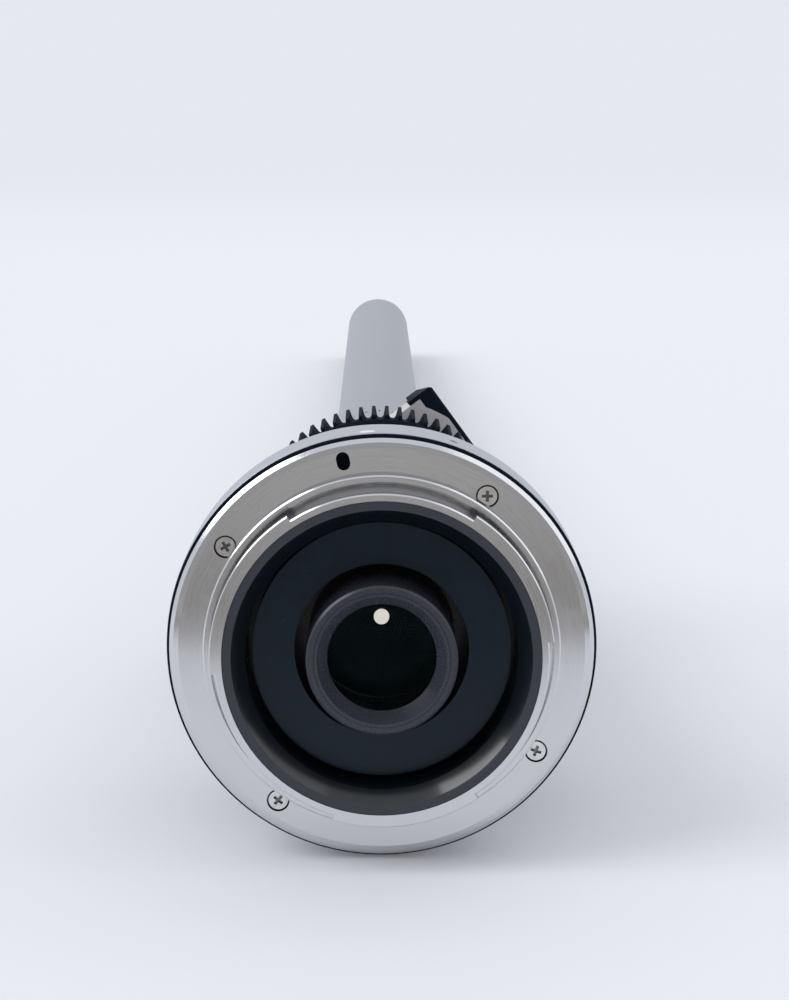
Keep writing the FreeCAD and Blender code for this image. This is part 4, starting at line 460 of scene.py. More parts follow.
@dataclass(frozen=True)
class Anodised(Finish):
    """Blasted and anodised aluminium: a fine grain, a little cloudiness and faint dust."""

    colour: Colour
    roughness: float
    grain_depth: float = 0.012
    metallic: float = 0.0
    dust: Dust | None = None
    gloss: float = 0.5
    tones: Span = (0.86, 1.12)
    grain: float = 0.5
    cloud: float = 0.55
    turning: float = 0.25
    grain_noise: Noise = Noise(5200.0, 2.0, 0.6)
    cloud_noise: Noise = Noise(70.0, 4.0)
    turning_noise: Noise = Noise(1.6, 2.0, 0.5)
    turning_grain: float = 3.0
    turning_twist: float = 4.0
    grain_gloss: float = 0.14
    cloud_gloss: float = 0.10

    def paint(self, shader: Shader) -> None:
        """Set the surface.

        Args:
            shader: the material in the making.
        """
        grain = shader.noise(shader.place(), self.grain_noise)
        clouds = shader.noise(shader.place(), self.cloud_noise)
        reach, station, angle = shader.polar()
        turns = shader.combined(reach, station * self.turning_grain, angle * self.turning_twist)
        turning = shader.noise(turns, self.turning_noise)
        shade = (0.5 + grain.swing(self.grain) + clouds.swing(self.cloud)
                 + turning.swing(self.turning)).step(0.0, 1.0)
        body = shader.blend(shade, *shades(self.colour, *self.tones))
        if self.dust:
            body = self.dust.on(shader, body)
        shader.set(Base_Color=body, Metallic=self.metallic, Specular_IOR_Level=self.gloss,
                   Roughness=(self.roughness + grain.swing(self.grain_gloss)
                              + clouds.swing(self.cloud_gloss)))
        shader.bump(grain, strength=0.30, distance=self.grain_depth)


@dataclass(frozen=True)
class LightTrap(Finish):
    """Deep matte black with fine turned ridges that swallow stray light."""

    colour: Colour
    roughness: float
    ridge_pitch: float = 0.35
    ridge_depth: float = 0.02
    gloss: float = 0.28
    rim: Rim | None = None
    tones: Span = (0.75, 1.25)
    haze_noise: Noise = Noise(420.0, 4.0)
    haze_gloss: float = 0.18
    dust: Dust = Dust(0.5, (0.12, 0.13, 0.14), Noise(2600.0, 2.0, 0.8), (0.76, 0.82))

    def paint(self, shader: Shader) -> None:
        """Set the surface.

        Args:
            shader: the material in the making.
        """
        reach, station, _ = shader.polar()
        ridges = ((reach + station) * (2 * math.pi / self.ridge_pitch)).sine() * 0.5 + 0.5
        haze = shader.noise(shader.place(), self.haze_noise)
        body = shader.blend(haze, *shades(self.colour, *self.tones))
        if self.rim:
            wall, painted_rim = self.rim.wall(reach), self.rim.painted_rim(reach, station)
            polish = wall * self.rim.bevel(station) * (1 - painted_rim)
            shader.set(Coat_Weight=polish * self.rim.polish,
                       Coat_Roughness=self.rim.polish_roughness)
            # The wall is painted darker as painted shade, and the flat rim paler as painted light
            # that it catches.
            body = shader.blend(wall, body, self.rim.painted_wall_shade)
            body = shader.blend(painted_rim, body, self.rim.painted_rim_light)
        shader.set(Base_Color=self.dust.on(shader, body), Specular_IOR_Level=self.gloss,
                   Roughness=self.roughness + haze.swing(self.haze_gloss))
        shader.bump(ridges.mix(haze, share=0.6), strength=0.25, distance=self.ridge_depth)


@dataclass(frozen=True)
class SmallSteel(Finish):
    """Bright or blackened steel of small parts, with crossed hairline scratches.

    Beyond the recess station, if it is given, lies the shaded bottom of a driver's cross.
    """

    colour: Colour
    roughness: float
    metallic: float = 1.0
    recess_station: float | None = None
    recess_edge: float = 0.08
    recess_shade: Colour = grey(0.16)
    tones: Span = (0.7, 1.0)
    contrast: Span = (0.3, 0.7)
    along: Triple = (9000.0, 500.0, 900.0)
    across: Triple = (900.0, 500.0, 9000.0)
    scratch_noise: Noise = Noise(1.0, roughness=0.7)
    stain_noise: Noise = Noise(900.0)
    scratch_gloss: float = 0.3

    def paint(self, shader: Shader) -> None:
        """Set the surface.

        Args:
            shader: the material in the making.
        """
        place = shader.place()
        along, across = (shader.noise(shader.stretched(place, scale), self.scratch_noise)
                         for scale in (self.along, self.across))
        scratches = along.mix(across, share=0.5)
        stained = scratches.mix(shader.noise(place, self.stain_noise), share=0.6)
        body = shader.blend(stained.step(*self.contrast), *shades(self.colour, *self.tones))
        if self.recess_station:
            _, station, _ = shader.polar()
            deep = station.step(self.recess_station, self.recess_station + self.recess_edge)
            body = shader.blend(deep, body, self.recess_shade)
        shader.set(Base_Color=body, Metallic=self.metallic,
                   Roughness=self.roughness + scratches.swing(self.scratch_gloss))
        shader.bump(scratches, strength=0.2, distance=0.004)


@dataclass(frozen=True)
class Moulded(Finish):
    """Moulded plastic, rubber or enamel with a spark-eroded grain."""

    colour: Colour
    roughness: float
    grain: float = 3200.0
    depth: float = 0.02
    coat: float = 0.0
    glow: float = 0.0
    tones: Span = (0.88, 1.1)
    contrast: Span = (0.3, 0.7)
    grain_roughness: float = 0.6
    grain_gloss: float = 0.16
    cloud_noise: Noise = Noise(140.0)

    def paint(self, shader: Shader) -> None:
        """Set the surface.

        Args:
            shader: the material in the making.
        """
        place = shader.place()
        grain = shader.noise(place, Noise(self.grain, roughness=self.grain_roughness))
        mottle = grain.mix(shader.noise(place, self.cloud_noise), share=0.5)
        body = shader.blend(mottle.step(*self.contrast), *shades(self.colour, *self.tones))
        shader.set(Base_Color=body, Coat_Weight=self.coat,
                   Roughness=self.roughness + grain.swing(self.grain_gloss))
        if self.glow:
            shader.set(Emission_Color=body, Emission_Strength=self.glow)
        shader.bump(grain, strength=0.3, distance=self.depth)


@dataclass(frozen=True)
class CoatedGlass(Finish):
    """Optical glass with a thin coloured coating, a few dust motes and a faint wipe mark."""

    tint: Colour
    coating: Colour
    mote_noise: Noise = Noise(2400.0, 2.0, 0.8)
    mote_span: Span = (0.79, 0.82)
    mote_share: float = 0.25
    mote_colour: Colour = grey(0.55)
    wipe_way: Triple = (900.0, 100.0, 250.0)
    wipe_noise: Noise = Noise(1.0)
    wipe_gloss: float = 0.012

    def paint(self, shader: Shader) -> None:
        """Set the surface.

        Args:
            shader: the material in the making.
        """
        place = shader.place()
        motes = shader.noise(place, self.mote_noise).step(*self.mote_span) * self.mote_share
        wipe = shader.noise(shader.stretched(place, self.wipe_way), self.wipe_noise)
        shader.set(Base_Color=shader.blend(motes, self.tint, self.mote_colour),
                   Roughness=motes + (wipe - 0.5).step(0.0, 0.5) * self.wipe_gloss,
                   IOR=1.5, Transmission_Weight=1.0, Specular_Tint=self.coating)


@dataclass(frozen=True)
class CircuitMask(Finish):
    """Solder mask over copper tracks, with bright pads. The pitch is the tracks' in mm."""

    mask: Colour
    track: Colour
    pad: Colour
    pitch: float
    pads_per_track: float = 0.8
    track_span: Span = (0.05, 0.07)
    pad_span: Span = (0.12, 0.14)
    roughness: float = 0.38
    pad_gloss: float = 0.1

    def paint(self, shader: Shader) -> None:
        """Set the surface.

        Args:
            shader: the material in the making.
        """
        place, scale = shader.place(), 1.0 / (self.pitch * MM)
        cells = shader.node("ShaderNodeTexVoronoi",
                            {"feature": "DISTANCE_TO_EDGE", "distance": "EUCLIDEAN"},
                            {"Vector": place, "Scale": scale})
        dots = shader.node("ShaderNodeTexVoronoi", inputs={
            "Vector": place, "Scale": self.pads_per_track * scale})
        tracks = 1.0 - cells.step(*self.track_span)
        pads = 1.0 - dots.step(*self.pad_span)
        body = shader.blend(pads, shader.blend(tracks, self.mask, self.track), self.pad)
        shader.set(Base_Color=body, Metallic=pads, Coat_Weight=0.3,
                   Roughness=self.roughness - pads * self.pad_gloss)
        shader.bump(tracks.mix(pads, share=0.6), strength=0.4, distance=0.03)


SHELF_DUST = Dust(0.4, (0.30, 0.31, 0.33), Noise(1500.0, 2.0, 0.8), (0.74, 0.80))
MATTE_BLACK = LightTrap("matte_black", (0.0075, 0.0105, 0.0145), 0.55, gloss=0.1)
OPTICAL_GLASS = CoatedGlass("optical_glass", (0.93, 0.95, 0.95), (0.02, 0.05, 0.06))
WHITE_PAINT = Moulded("white_paint", (0.78, 0.79, 0.80), 0.35, grain=2400.0, depth=0.006,
                      coat=0.3)
LAMP_YELLOW = Moulded("lamp_yellow", (0.80, 0.62, 0.09), 0.3, grain=3800.0, depth=0.006,
                      coat=0.5)
LAMP_WHITE = Moulded("lamp_white", (0.80, 0.79, 0.76), 0.4, grain=3800.0, depth=0.006)
# A disc that glows inside the lens: painted light for the bright pupil, where light comes through.
PAINTED_PUPIL_LIGHT = Moulded("painted_pupil_light", (0.80, 0.74, 0.66), 0.5, grain=3800.0, depth=0.002,
                     glow=0.98)
# A paler copy of the grey anodising for the rear barrel: painted light that its top catches.
PAINTED_LIGHT_BARREL_GREY = Anodised("painted_light_barrel_grey", (0.415, 0.435, 0.490), 0.38, metallic=0.35)
SLOT_FINISHES = {finish.name: finish for finish in (
    TurnedMetal("bright_mount", (0.665, 0.672, 0.692), 0.11, ring_depth=0.010, cloud=0.06,
                wells=Wells(inner=24.5, outer=27.65, station=0.05)),
    TurnedMetal("brass", (0.72, 0.52, 0.22), 0.28, ring_pitch=0.08),
    SmallSteel("mount_screw_steel", grey(0.80), 0.14, recess_station=0.25),
    SmallSteel("screw_steel", (0.66, 0.66, 0.67), 0.26),
    SmallSteel("spring_steel", (0.5, 0.5, 0.52), 0.3),
    SmallSteel("socket_steel", (0.6, 0.6, 0.62), 0.28),
    SmallSteel("screw_black", (0.045, 0.045, 0.05), 0.4, metallic=0.6),
    SmallSteel("blade_steel", (0.035, 0.035, 0.04), 0.5, metallic=0.5),
    Anodised("black_anodised", (0.009, 0.013, 0.022), 0.6, dust=SHELF_DUST, gloss=0.02),
    Anodised("cell_black", (0.034, 0.037, 0.052), 0.26, grain_depth=0.008,
             dust=SHELF_DUST, gloss=0.4),
    Anodised("pale_anodised", (0.58, 0.575, 0.60), 0.45, grain_depth=0.010, metallic=0.1),
    Anodised("grey_anodised", (0.330, 0.345, 0.390), 0.40, metallic=0.35),
    LightTrap("baffle_black", (0.002, 0.0135, 0.028), 0.24, ridge_pitch=0.9, ridge_depth=0.004,
              gloss=0.25, rim=Rim(wall_radius=18.3, painted_rim_radius=20.25, painted_rim_station=-6.15,
                                  bevel_station=-4.1)),
    CoatedGlass("window_glass", (0.95, 0.96, 0.96), (0.5, 0.5, 0.55)),
    Moulded("button_rubber", (0.30, 0.025, 0.022), 0.6, grain=4200.0),
    Moulded("switch_plastic", (0.03, 0.03, 0.032), 0.45),
    Moulded("lamp_plastic", (0.62, 0.80, 0.70), 0.3, grain=2600.0, depth=0.005, coat=0.4),
    Moulded("seal_rubber", (0.02, 0.02, 0.021), 0.55),
    Moulded("wire_sleeve", (0.20, 0.015, 0.014), 0.42),
    CircuitMask("circuit_board", (0.010, 0.085, 0.045), (0.02, 0.15, 0.07),
                (0.75, 0.62, 0.32), pitch=1.1),
    CircuitMask("lamp_board", (0.72, 0.72, 0.70), (0.62, 0.62, 0.60), (0.75, 0.70, 0.55),
                pitch=1.4),
    MATTE_BLACK, OPTICAL_GLASS, WHITE_PAINT, LAMP_YELLOW)}


@cache
def material_of(finish: Finish) -> Any:
    """Make the material of a finish when it is first asked for, and keep it.

    Args:
        finish: the finish.

    Returns:
        The material.
    """
    shader = Shader(finish.name)
    finish.paint(shader)
    return shader.material


def paint_node(node: str, finish: Finish) -> None:
    """Give a node of the frame a finish in all its slots.

    Args:
        node: the node's name.
        finish: the finish.
    """
    materials = frame["nodes"][node].data.materials
    if not materials:
        materials.append(None)
    for number in range(len(materials)):
        materials[number] = material_of(finish)
    LOG.info("node %s: %s", node, finish.name)


def dress(*nodes: str) -> None:
    """Give nodes of the frame the finish that their slot in the record names.

    Args:
        nodes: the nodes' names.
    """
    slots = {part["node"]: part["material_slot"] for part in frame["record"]["subparts"]}
    for node in nodes:
        paint_node(node, SLOT_FINISHES[slots[node]])


def add_piece(name: str, mesh: Any, finish: Finish, body: Body) -> Any:
    """Add a piece of this scene.

    Args:
        name: the piece's name.
        mesh: its mesh, already in the frame of the lens.
        finish: its finish.
        body: the body that it rides on.

    Returns:
        The new object.
    """
    piece = placed(name, mesh)
    mesh.materials.clear()
    mesh.materials.append(material_of(finish))
    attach(piece, body.value)
    LOG.info("piece %s on %s: %d faces", name, body.value, len(mesh.polygons))
    return piece


def mesh_from(name: str, form: Any) -> Any:
    """Make a mesh whose faces look outwards.

    Args:
        name: the mesh's name.
        form: the bmesh that holds it, which is used up.

    Returns:
        The mesh.
    """
    bmesh.ops.recalc_face_normals(form, faces=form.faces)
    mesh = bpy.data.meshes.new(name)
    form.to_mesh(mesh)
    form.free()
    return mesh


def bridge(form: Any, rows: Sequence[Sequence[Any]], smooth: bool = False,
           capped: bool = False) -> None:
    """Span the gap between each row of points and the next.

    Args:
        form: the bmesh to fill.
        rows: rows of vertices, each a closed loop and all of one length.
        smooth: shade the faces smoothly.
        capped: close the first row and the last.
    """
    for here, there in zip(rows, rows[1:]):
        for i, vertex in enumerate(here):
            j = (i + 1) % len(here)
            form.faces.new((vertex, here[j], there[j], there[i])).smooth = smooth
    if capped:
        form.faces.new(rows[0])
        form.faces.new(rows[-1])


def turned(name: str, profile: Sequence[tuple[float, float]], steps: int = 96) -> Any:
    """Turn a profile about the lens axis.

    Args:
        name: the mesh's name.
        profile: points of radius and station in mm, which start and end on the axis.
        steps: how many steps go round.

    Returns:
        The mesh.
    """
    form = bmesh.new()
    rings = []
    for step in range(steps):
        angle = 2 * math.pi * step / steps
        across, up = math.sin(angle), math.cos(angle)
        rings.append([form.verts.new((r * MM * across, y * MM, r * MM * up))
                      for r, y in profile])
    bridge(form, [*rings, rings[0]], smooth=True)
    bmesh.ops.remove_doubles(form, verts=form.verts, dist=AXIS_MERGE)
    return mesh_from(name, form)


def bend(mesh: Any, radius: float, station: float, angle: float) -> None:
    """Bend a flat mesh round the lens axis.

    Args:
        mesh: X runs round the axis, Y along it, Z outwards, all in metres.
        radius: the radius in mm at which Z is zero.
        station: where Y is zero, in mm.
        angle: where X is zero, in degrees.
    """
    for vertex in mesh.vertices:
        x, y, z = vertex.co
        reach = radius * MM + z
        bearing = math.radians(angle) + x / (radius * MM)
        vertex.co = (reach * math.sin(bearing), station * MM + y, reach * math.cos(bearing))


def joined(name: str, meshes: Iterable[Any]) -> Any:
    """Join meshes, which are used up.

    Args:
        name: the new mesh's name.
        meshes: the meshes.

    Returns:
        The new mesh.
    """
    form = bmesh.new()
    for mesh in meshes:
        form.from_mesh(mesh)
        bpy.data.meshes.remove(mesh)
    bmesh.ops.remove_doubles(form, verts=form.verts, dist=SEAM_MERGE)
    return mesh_from(name, form)


@dataclass(frozen=True)
class Tick:
    """A painted line along the axis: its width and the stations of its ends."""

    width: float
    start: float
    end: float


@dataclass(frozen=True)
class Marking:
    """Painted numbers and lines that stand a hair proud of a round surface."""

    radius: float
    proud: float = 0.025
    depth: float = 0.06
    size_per_height: float = 1.38
    splits: int = 4

    def number(self, text: str, height: float, station: float, angle: float) -> Any:
        """One number, centred on a station and an angle.

        Args:
            text: the digits.
            height: their height in mm.
            station: the middle along the axis in mm.
            angle: the middle round the axis in degrees.

        Returns:
            The mesh.
        """
        curve = bpy.data.curves.new("digits_" + text, "FONT")
        curve.body = text
        curve.size = height * MM * self.size_per_height
        curve.align_x = "CENTER"
        curve.align_y = "CENTER"
        curve.extrude = (self.proud + self.depth) * MM / 2
        curve.resolution_u = self.splits
        holder = placed("digits_" + text, curve)
        bpy.context.view_layer.update()
        mesh = bpy.data.meshes.new_from_object(holder)
        bpy.data.objects.remove(holder)
        bpy.data.curves.remove(curve)
        mesh.transform(Matrix.Translation((0, 0, (self.proud - self.depth) * MM / 2)))
        bend(mesh, self.radius, station, angle)
        return mesh

    def line(self, tick: Tick, angle: float = 0.0) -> Any:
        """One line.

        Args:
            tick: its width and ends.
            angle: where it lies round the axis, in degrees.

        Returns:
            The mesh.
        """
        low, high = -self.depth * MM, self.proud * MM
        section = ((tick.start, low), (tick.start, high), (tick.end, high), (tick.end, low))
        form = bmesh.new()
        rows = []
        for step in range(self.splits + 1):
            x = (step / self.splits - 0.5) * tick.width * MM
            rows.append([form.verts.new((x, y * MM, z)) for y, z in section])
        bridge(form, rows, capped=True)
        mesh = mesh_from("line", form)
        bend(mesh, self.radius, 0.0, angle)
        return mesh


@dataclass(frozen=True)
class Scale:
    """Numbers round a ring at equal turns, each with a line and some with one halfway before."""

    radius: float
    numbers: Names
    turn_step: float
    digit_height: float
    digit_station: float
    line: Tick
    half_line: Tick | None = None

    def mesh(self, name: str) -> Any:
        """All the numbers and lines as one mesh.

        Args:
            name: the mesh's name.

        Returns:
            The mesh.
        """
        marking = Marking(self.radius)
        meshes = []
        for place, text in enumerate(self.numbers):
            angle = -self.turn_step * place
            meshes.append(marking.number(text, self.digit_height, self.digit_station, angle))
            meshes.append(marking.line(self.line, angle))
            if place and self.half_line:
                meshes.append(marking.line(self.half_line, angle + self.turn_step / 2))
        return joined(name, meshes)


@dataclass(frozen=True)
class SmoothGlass:
    """A glass with two domed faces, turned finely enough to show what lies behind it cleanly.

    It stands for the node of the same shape, whose faces are too coarse for that.
    """

    node: str
    curve: float
    rings: int = 16
    crease: float = 30.0

    def build(self) -> None:
        """Turn the glass in the place of its node."""
        low, high = (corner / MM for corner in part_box(self.node))
        radius, thickness = high.x, high.y - low.y
        reach = [radius * (1 - (1 - i / self.rings) ** 2) for i in range(self.rings + 1)]
        rise = [self.curve - math.sqrt(self.curve ** 2 - r ** 2) for r in reach]
        rear = [(r, low.y + h) for r, h in zip(reach, rise)]
        front = [(r, low.y + thickness - h) for r, h in zip(reach, rise)]
        mesh = turned(self.node + "_polished", rear + front[::-1])
        mesh.set_sharp_from_angle(angle=math.radians(self.crease))
        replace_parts(add_piece(self.node + "_polished", mesh, OPTICAL_GLASS, Body.LENS), self.node)


@dataclass
class Section:
    """A length of the lens: the nodes that it dresses, and the details that it adds to them."""

    nodes: Names = ()

    def build(self) -> None:
        """Dress the nodes and add the details."""
        dress(*self.nodes)
        self.add_details()

    def add_details(self) -> None:
        """Add what the nodes leave plain, which is nothing where a section doesn't say."""


@dataclass
class Mount(Section):
    """The bright bayonet, its screws, the shim and the grey barrel behind the aperture ring."""

    nodes: Names = (
        "mount_bayonet", "mount_screws", "mount_shim", "rear_barrel", "index_dot",
        "barrel_grub_screws")

    def add_details(self) -> None:
        """Paint the barrel in a grey a little paler than the others: painted light, for the light
        that its top catches.
        """
        paint_node("rear_barrel", PAINTED_LIGHT_BARREL_GREY)


@dataclass
class RearOptics(Section):
    """The light baffle, the rear cell and what is seen through its glass."""

    nodes: Names = ("rear_baffle", "rear_cell", "rear_lens_retainer", "cell_spacer")
    glasses: tuple[SmoothGlass, ...] = (SmoothGlass("rear_lens", 180.0),
                                        SmoothGlass("field_lens", 220.0))
    stop_station: float = 16.3
    stop_thickness: float = 0.5
    stop_radius: float = 8.9
    dish_floor: float = 5.0
    dish_brim: float = 5.2
    dish_depth: float = 0.15
    pupil_radius: float = 0.95
    pupil_lift: float = 1.07
    pupil_half: float = 0.05
    pupil_steps: int = 48

    def add_details(self) -> None:
        """Add the finely turned glasses, and the field stop with a glowing disc on it: painted
        light that stands for the bright pupil of the lens.
        """
        for glass in self.glasses:
            glass.build()
        self.field_stop()
        self.pupil()

    def field_stop(self) -> None:
        """The dark stop behind the glasses, dished in its middle."""
        rear, front = self.stop_station, self.stop_station + self.stop_thickness
        brim = rear - self.dish_depth
        stop = turned("field_stop", [
            (0.0, rear), (self.dish_floor, rear), (self.dish_brim, brim),
            (self.stop_radius, brim), (self.stop_radius, front), (0.0, front)])
        add_piece("field_stop", stop, MATTE_BLACK, Body.LENS)

    def pupil(self) -> None:
        """A small disc on the stop that glows, bevelled round its edge: painted light for the light
        that comes through the lens.
        """
        rear, radius, half = self.stop_station, self.pupil_radius, self.pupil_half
        pupil = turned("painted_pupil_disc", [
            (0.0, rear - 2 * half), (radius - half, rear - 2 * half), (radius, rear - half),
            (radius, rear + half), (0.0, rear + half)], self.pupil_steps)
        pupil.transform(Matrix.Translation((0, 0, self.pupil_lift * MM)))
        add_piece("painted_pupil_disc", pupil, PAINTED_PUPIL_LIGHT, Body.LENS)


@dataclass
class ApertureRing(Section):
    """The aperture ring with its plain numbers, and the iris that it turns."""

    nodes: Names = (
        "aperture_ring", "aperture_pin", "iris_drive_ring", "click_ball", "click_spring",
        "iris_spacer", "iris_housing", "iris_retainer",
        *(f"iris_blade_{number}" for number in range(1, 7)))
    scale: Scale = Scale(radius=25.6, numbers=("14", "16", "22", "28", "32", "40"),
                         turn_step=9.0, digit_height=1.9, digit_station=20.8,
                         line=Tick(0.22, 18.25, 19.25))

    def add_details(self) -> None:
        """Paint the numbers."""
        add_piece("aperture_numbers", self.scale.mesh("aperture_numbers"), WHITE_PAINT,
                  Body.APERTURE)


@dataclass
class MainBarrel(Section):
    """The tapered main barrel with its index lines.

    The first line lies on the cone between the rear barrel's shoulder and the aperture ring.
    """

    nodes: Names = ("main_barrel", "focus_retainer")
    cone_rear: float = 12.9
    cone_front: float = 17.2
    cone_rear_radius: float = 26.6
    cone_front_radius: float = 25.7
    cone_line: Tick = Tick(0.3, 13.5, 16.95)
    collar_radius: float = 24.8
    collar_line: Tick = Tick(0.3, 34.4, 36.1)
    nut_radius: float = 18.9
    nut_line: Tick = Tick(0.3, 96.9, 98.3)

    def add_details(self) -> None:
        """Paint the index lines."""
        add_piece("aperture_index", self.tapered_line(), WHITE_PAINT, Body.LENS)
        for name, radius, line in (("collar_index", self.collar_radius, self.collar_line),
                                   ("focus_index", self.nut_radius, self.nut_line)):
            add_piece(name, Marking(radius).line(line), WHITE_PAINT, Body.LENS)

    def tapered_line(self) -> Any:
        """The line on the cone, which follows its fall towards the front.

        Returns:
            The mesh.
        """
        mesh = Marking(self.cone_rear_radius).line(self.cone_line)
        fall = ((self.cone_rear_radius - self.cone_front_radius)
                / (self.cone_front - self.cone_rear))
        for vertex in mesh.vertices:
            x, y, z = vertex.co
            drop = (y / MM - self.cone_rear) * fall * MM
            reach = math.hypot(x, z)
            scale = (reach - drop) / reach
            vertex.co = (x * scale, y, z * scale)
        return mesh


@dataclass
class FocusRing(Section):
    """The geared focus ring with its scale, and the glass that it moves."""

    nodes: Names = (
        "focus_ring", "focus_sleeve", "focus_pins", "focus_lens_front", "focus_lens_rear",
        "focus_lens_retainer")
    scale: Scale = Scale(radius=19.5, numbers=("2", "3", "4", "6", "8", "12", "20", "50"),
                         turn_step=20.0, digit_height=1.5, digit_station=93.65,
                         line=Tick(0.2, 94.85, 95.9), half_line=Tick(0.12, 95.2, 95.9))

    def add_details(self) -> None:
        """Paint the scale."""
        add_piece("focus_numbers", self.scale.mesh("focus_numbers"), WHITE_PAINT, Body.FOCUS)


@dataclass
class ProbeTube(Section):
    """The front barrel, the clamp collar, the long tube and the relay inside it."""

    nodes: Names = (
        "front_barrel", "tube_collar", "probe_tube", "relay_tube", "relay_carrier",
        "relay_lens_rear", "relay_lens_middle", "relay_lens_front", "relay_spacers", "led_wire")


@dataclass
class ControlBox(Section):
    """The control box of the lamps, with its button mark and what is inside.

    The box has its own frame: X across, Y along the cone, Z outwards. The sign on its button is
    a broken ring with a short bar in the gap.
    """

    nodes: Names = (
        "control_base", "control_cover", "control_screws", "circuit_board", "usb_socket",
        "tact_switch", "power_button", "indicator_lamp")
    angle: float = 54.0
    slope: float = 6.5
    corner: Triple = (0.0, 99.1, 17.6)
    button_station: float = 23.0
    cap_height: float = 4.7
    sign_depth: float = 0.05
    sign_proud: float = 0.03
    ring_radius: float = 1.35
    ring_width: float = 0.28
    ring_gap: float = 35.0
    ring_steps: int = 36
    bar_length: float = 1.5
    bar_station: float = 1.15

    def placement(self) -> Matrix:
        """The place of the box's own frame, in metres."""
        tilt = Matrix.Rotation(math.radians(-self.slope), 4, "X")
        return turn(self.angle) @ Matrix.Translation(Vector(self.corner) * MM) @ tilt

    def add_details(self) -> None:
        """Paint the on and off sign on the button."""
        sign = self.sign()
        sign.transform(self.placement())
        add_piece("button_sign", sign, WHITE_PAINT, Body.BUTTON)

    def sign(self) -> Any:
        """The sign, in the box's own frame.

        Returns:
            The mesh.
        """
        form = bmesh.new()
        low = (self.cap_height - self.sign_depth) * MM
        high = (self.cap_height + self.sign_proud) * MM
        inner = (self.ring_radius - self.ring_width / 2) * MM
        outer = (self.ring_radius + self.ring_width / 2) * MM
        start = math.radians(90 + self.ring_gap)
        span = math.radians(FULL_TURN - 2 * self.ring_gap)
        middle = self.button_station * MM
        rows = []
        for step in range(self.ring_steps + 1):
            angle = start + span * step / self.ring_steps
            rows.append([form.verts.new((r * math.cos(angle), middle + r * math.sin(angle), z))
                         for r, z in ((inner, low), (inner, high), (outer, high), (outer, low))])
        bridge(form, rows, capped=True)
        bar = bmesh.ops.create_cube(form, size=1.0)["verts"]
        bmesh.ops.scale(form, verts=bar,
                        vec=(self.ring_width * MM, self.bar_length * MM, high - low))
        bmesh.ops.translate(form, verts=bar,
                            vec=(0, middle + self.bar_station * MM, (low + high) / 2))
        return mesh_from("button_sign", form)


@dataclass
class Tip(Section):
    """The tip: its ring of lamps behind the window, and the front glass."""

    nodes: Names = (
        "tip_housing", "tip_seal", "led_board", "leds", "led_window", "front_cell", "front_lens")
    lamp_count: int = 10
    lamp_circle: float = 6.8
    lamp_front: float = 475.8
    gel_radius: float = 0.58
    gel_rise: float = 0.22
    gel_sink: float = 0.05
    gel_steps: int = 20
    gel_rows: int = 4

    def add_details(self) -> None:
        """Paint the lamps white and add a domed yellow gel on each of them."""
        paint_node("leds", LAMP_WHITE)
        add_piece("lamp_gels", self.gels(), LAMP_YELLOW, Body.LENS)

    def gels(self) -> Any:
        """The gels of all the lamps as one mesh.

        Returns:
            The mesh.
        """
        form = bmesh.new()
        station = (self.lamp_front - self.gel_sink) * MM
        for lamp in range(self.lamp_count):
            spot = turn(FULL_TURN * lamp / self.lamp_count) @ Vector((0, 0, self.lamp_circle * MM))
            self.gel(form, spot + Vector((0, station, 0)))
        return mesh_from("lamp_gels", form)

    def gel(self, form: Any, centre: Vector) -> None:
        """Fill a form with one low round dome.

        Args:
            form: the bmesh to fill.
            centre: the middle of its base, in metres.
        """
        rings = []
        for row in range(self.gel_rows):
            climb = row / self.gel_rows * math.pi / 2
            reach = self.gel_radius * math.cos(climb) * MM
            lift = self.gel_rise * math.sin(climb) * MM
            rings.append([form.verts.new(centre + Vector((
                reach * math.cos(2 * math.pi * i / self.gel_steps), lift,
                reach * math.sin(2 * math.pi * i / self.gel_steps))))
                for i in range(self.gel_steps)])
        bridge(form, rings, smooth=True)
        top = form.verts.new(centre + Vector((0, self.gel_rise * MM, 0)))
        last = rings[-1]
        for i, vertex in enumerate(last):
            form.faces.new((vertex, last[(i + 1) % len(last)], top)).smooth = True
        form.faces.new(rings[0])


@dataclass(frozen=True)
class SoftLamp:
    """A wide distant light: the way to it, how wide it looks in degrees, and its strength."""

    name: str
    way: Triple
    spread: float
    strength: float
    colour: Colour = (1.0, 0.995, 0.985)

    def build(self) -> None:
        """Hang the light."""
        data = bpy.data.lights.new(self.name, "SUN")
        data.angle = math.radians(self.spread)
        data.energy = self.strength
        data.color = self.colour
        lamp = placed(self.name, data)
        lamp.rotation_euler = (-Vector(self.way)).to_track_quat("-Z", "Y").to_euler()


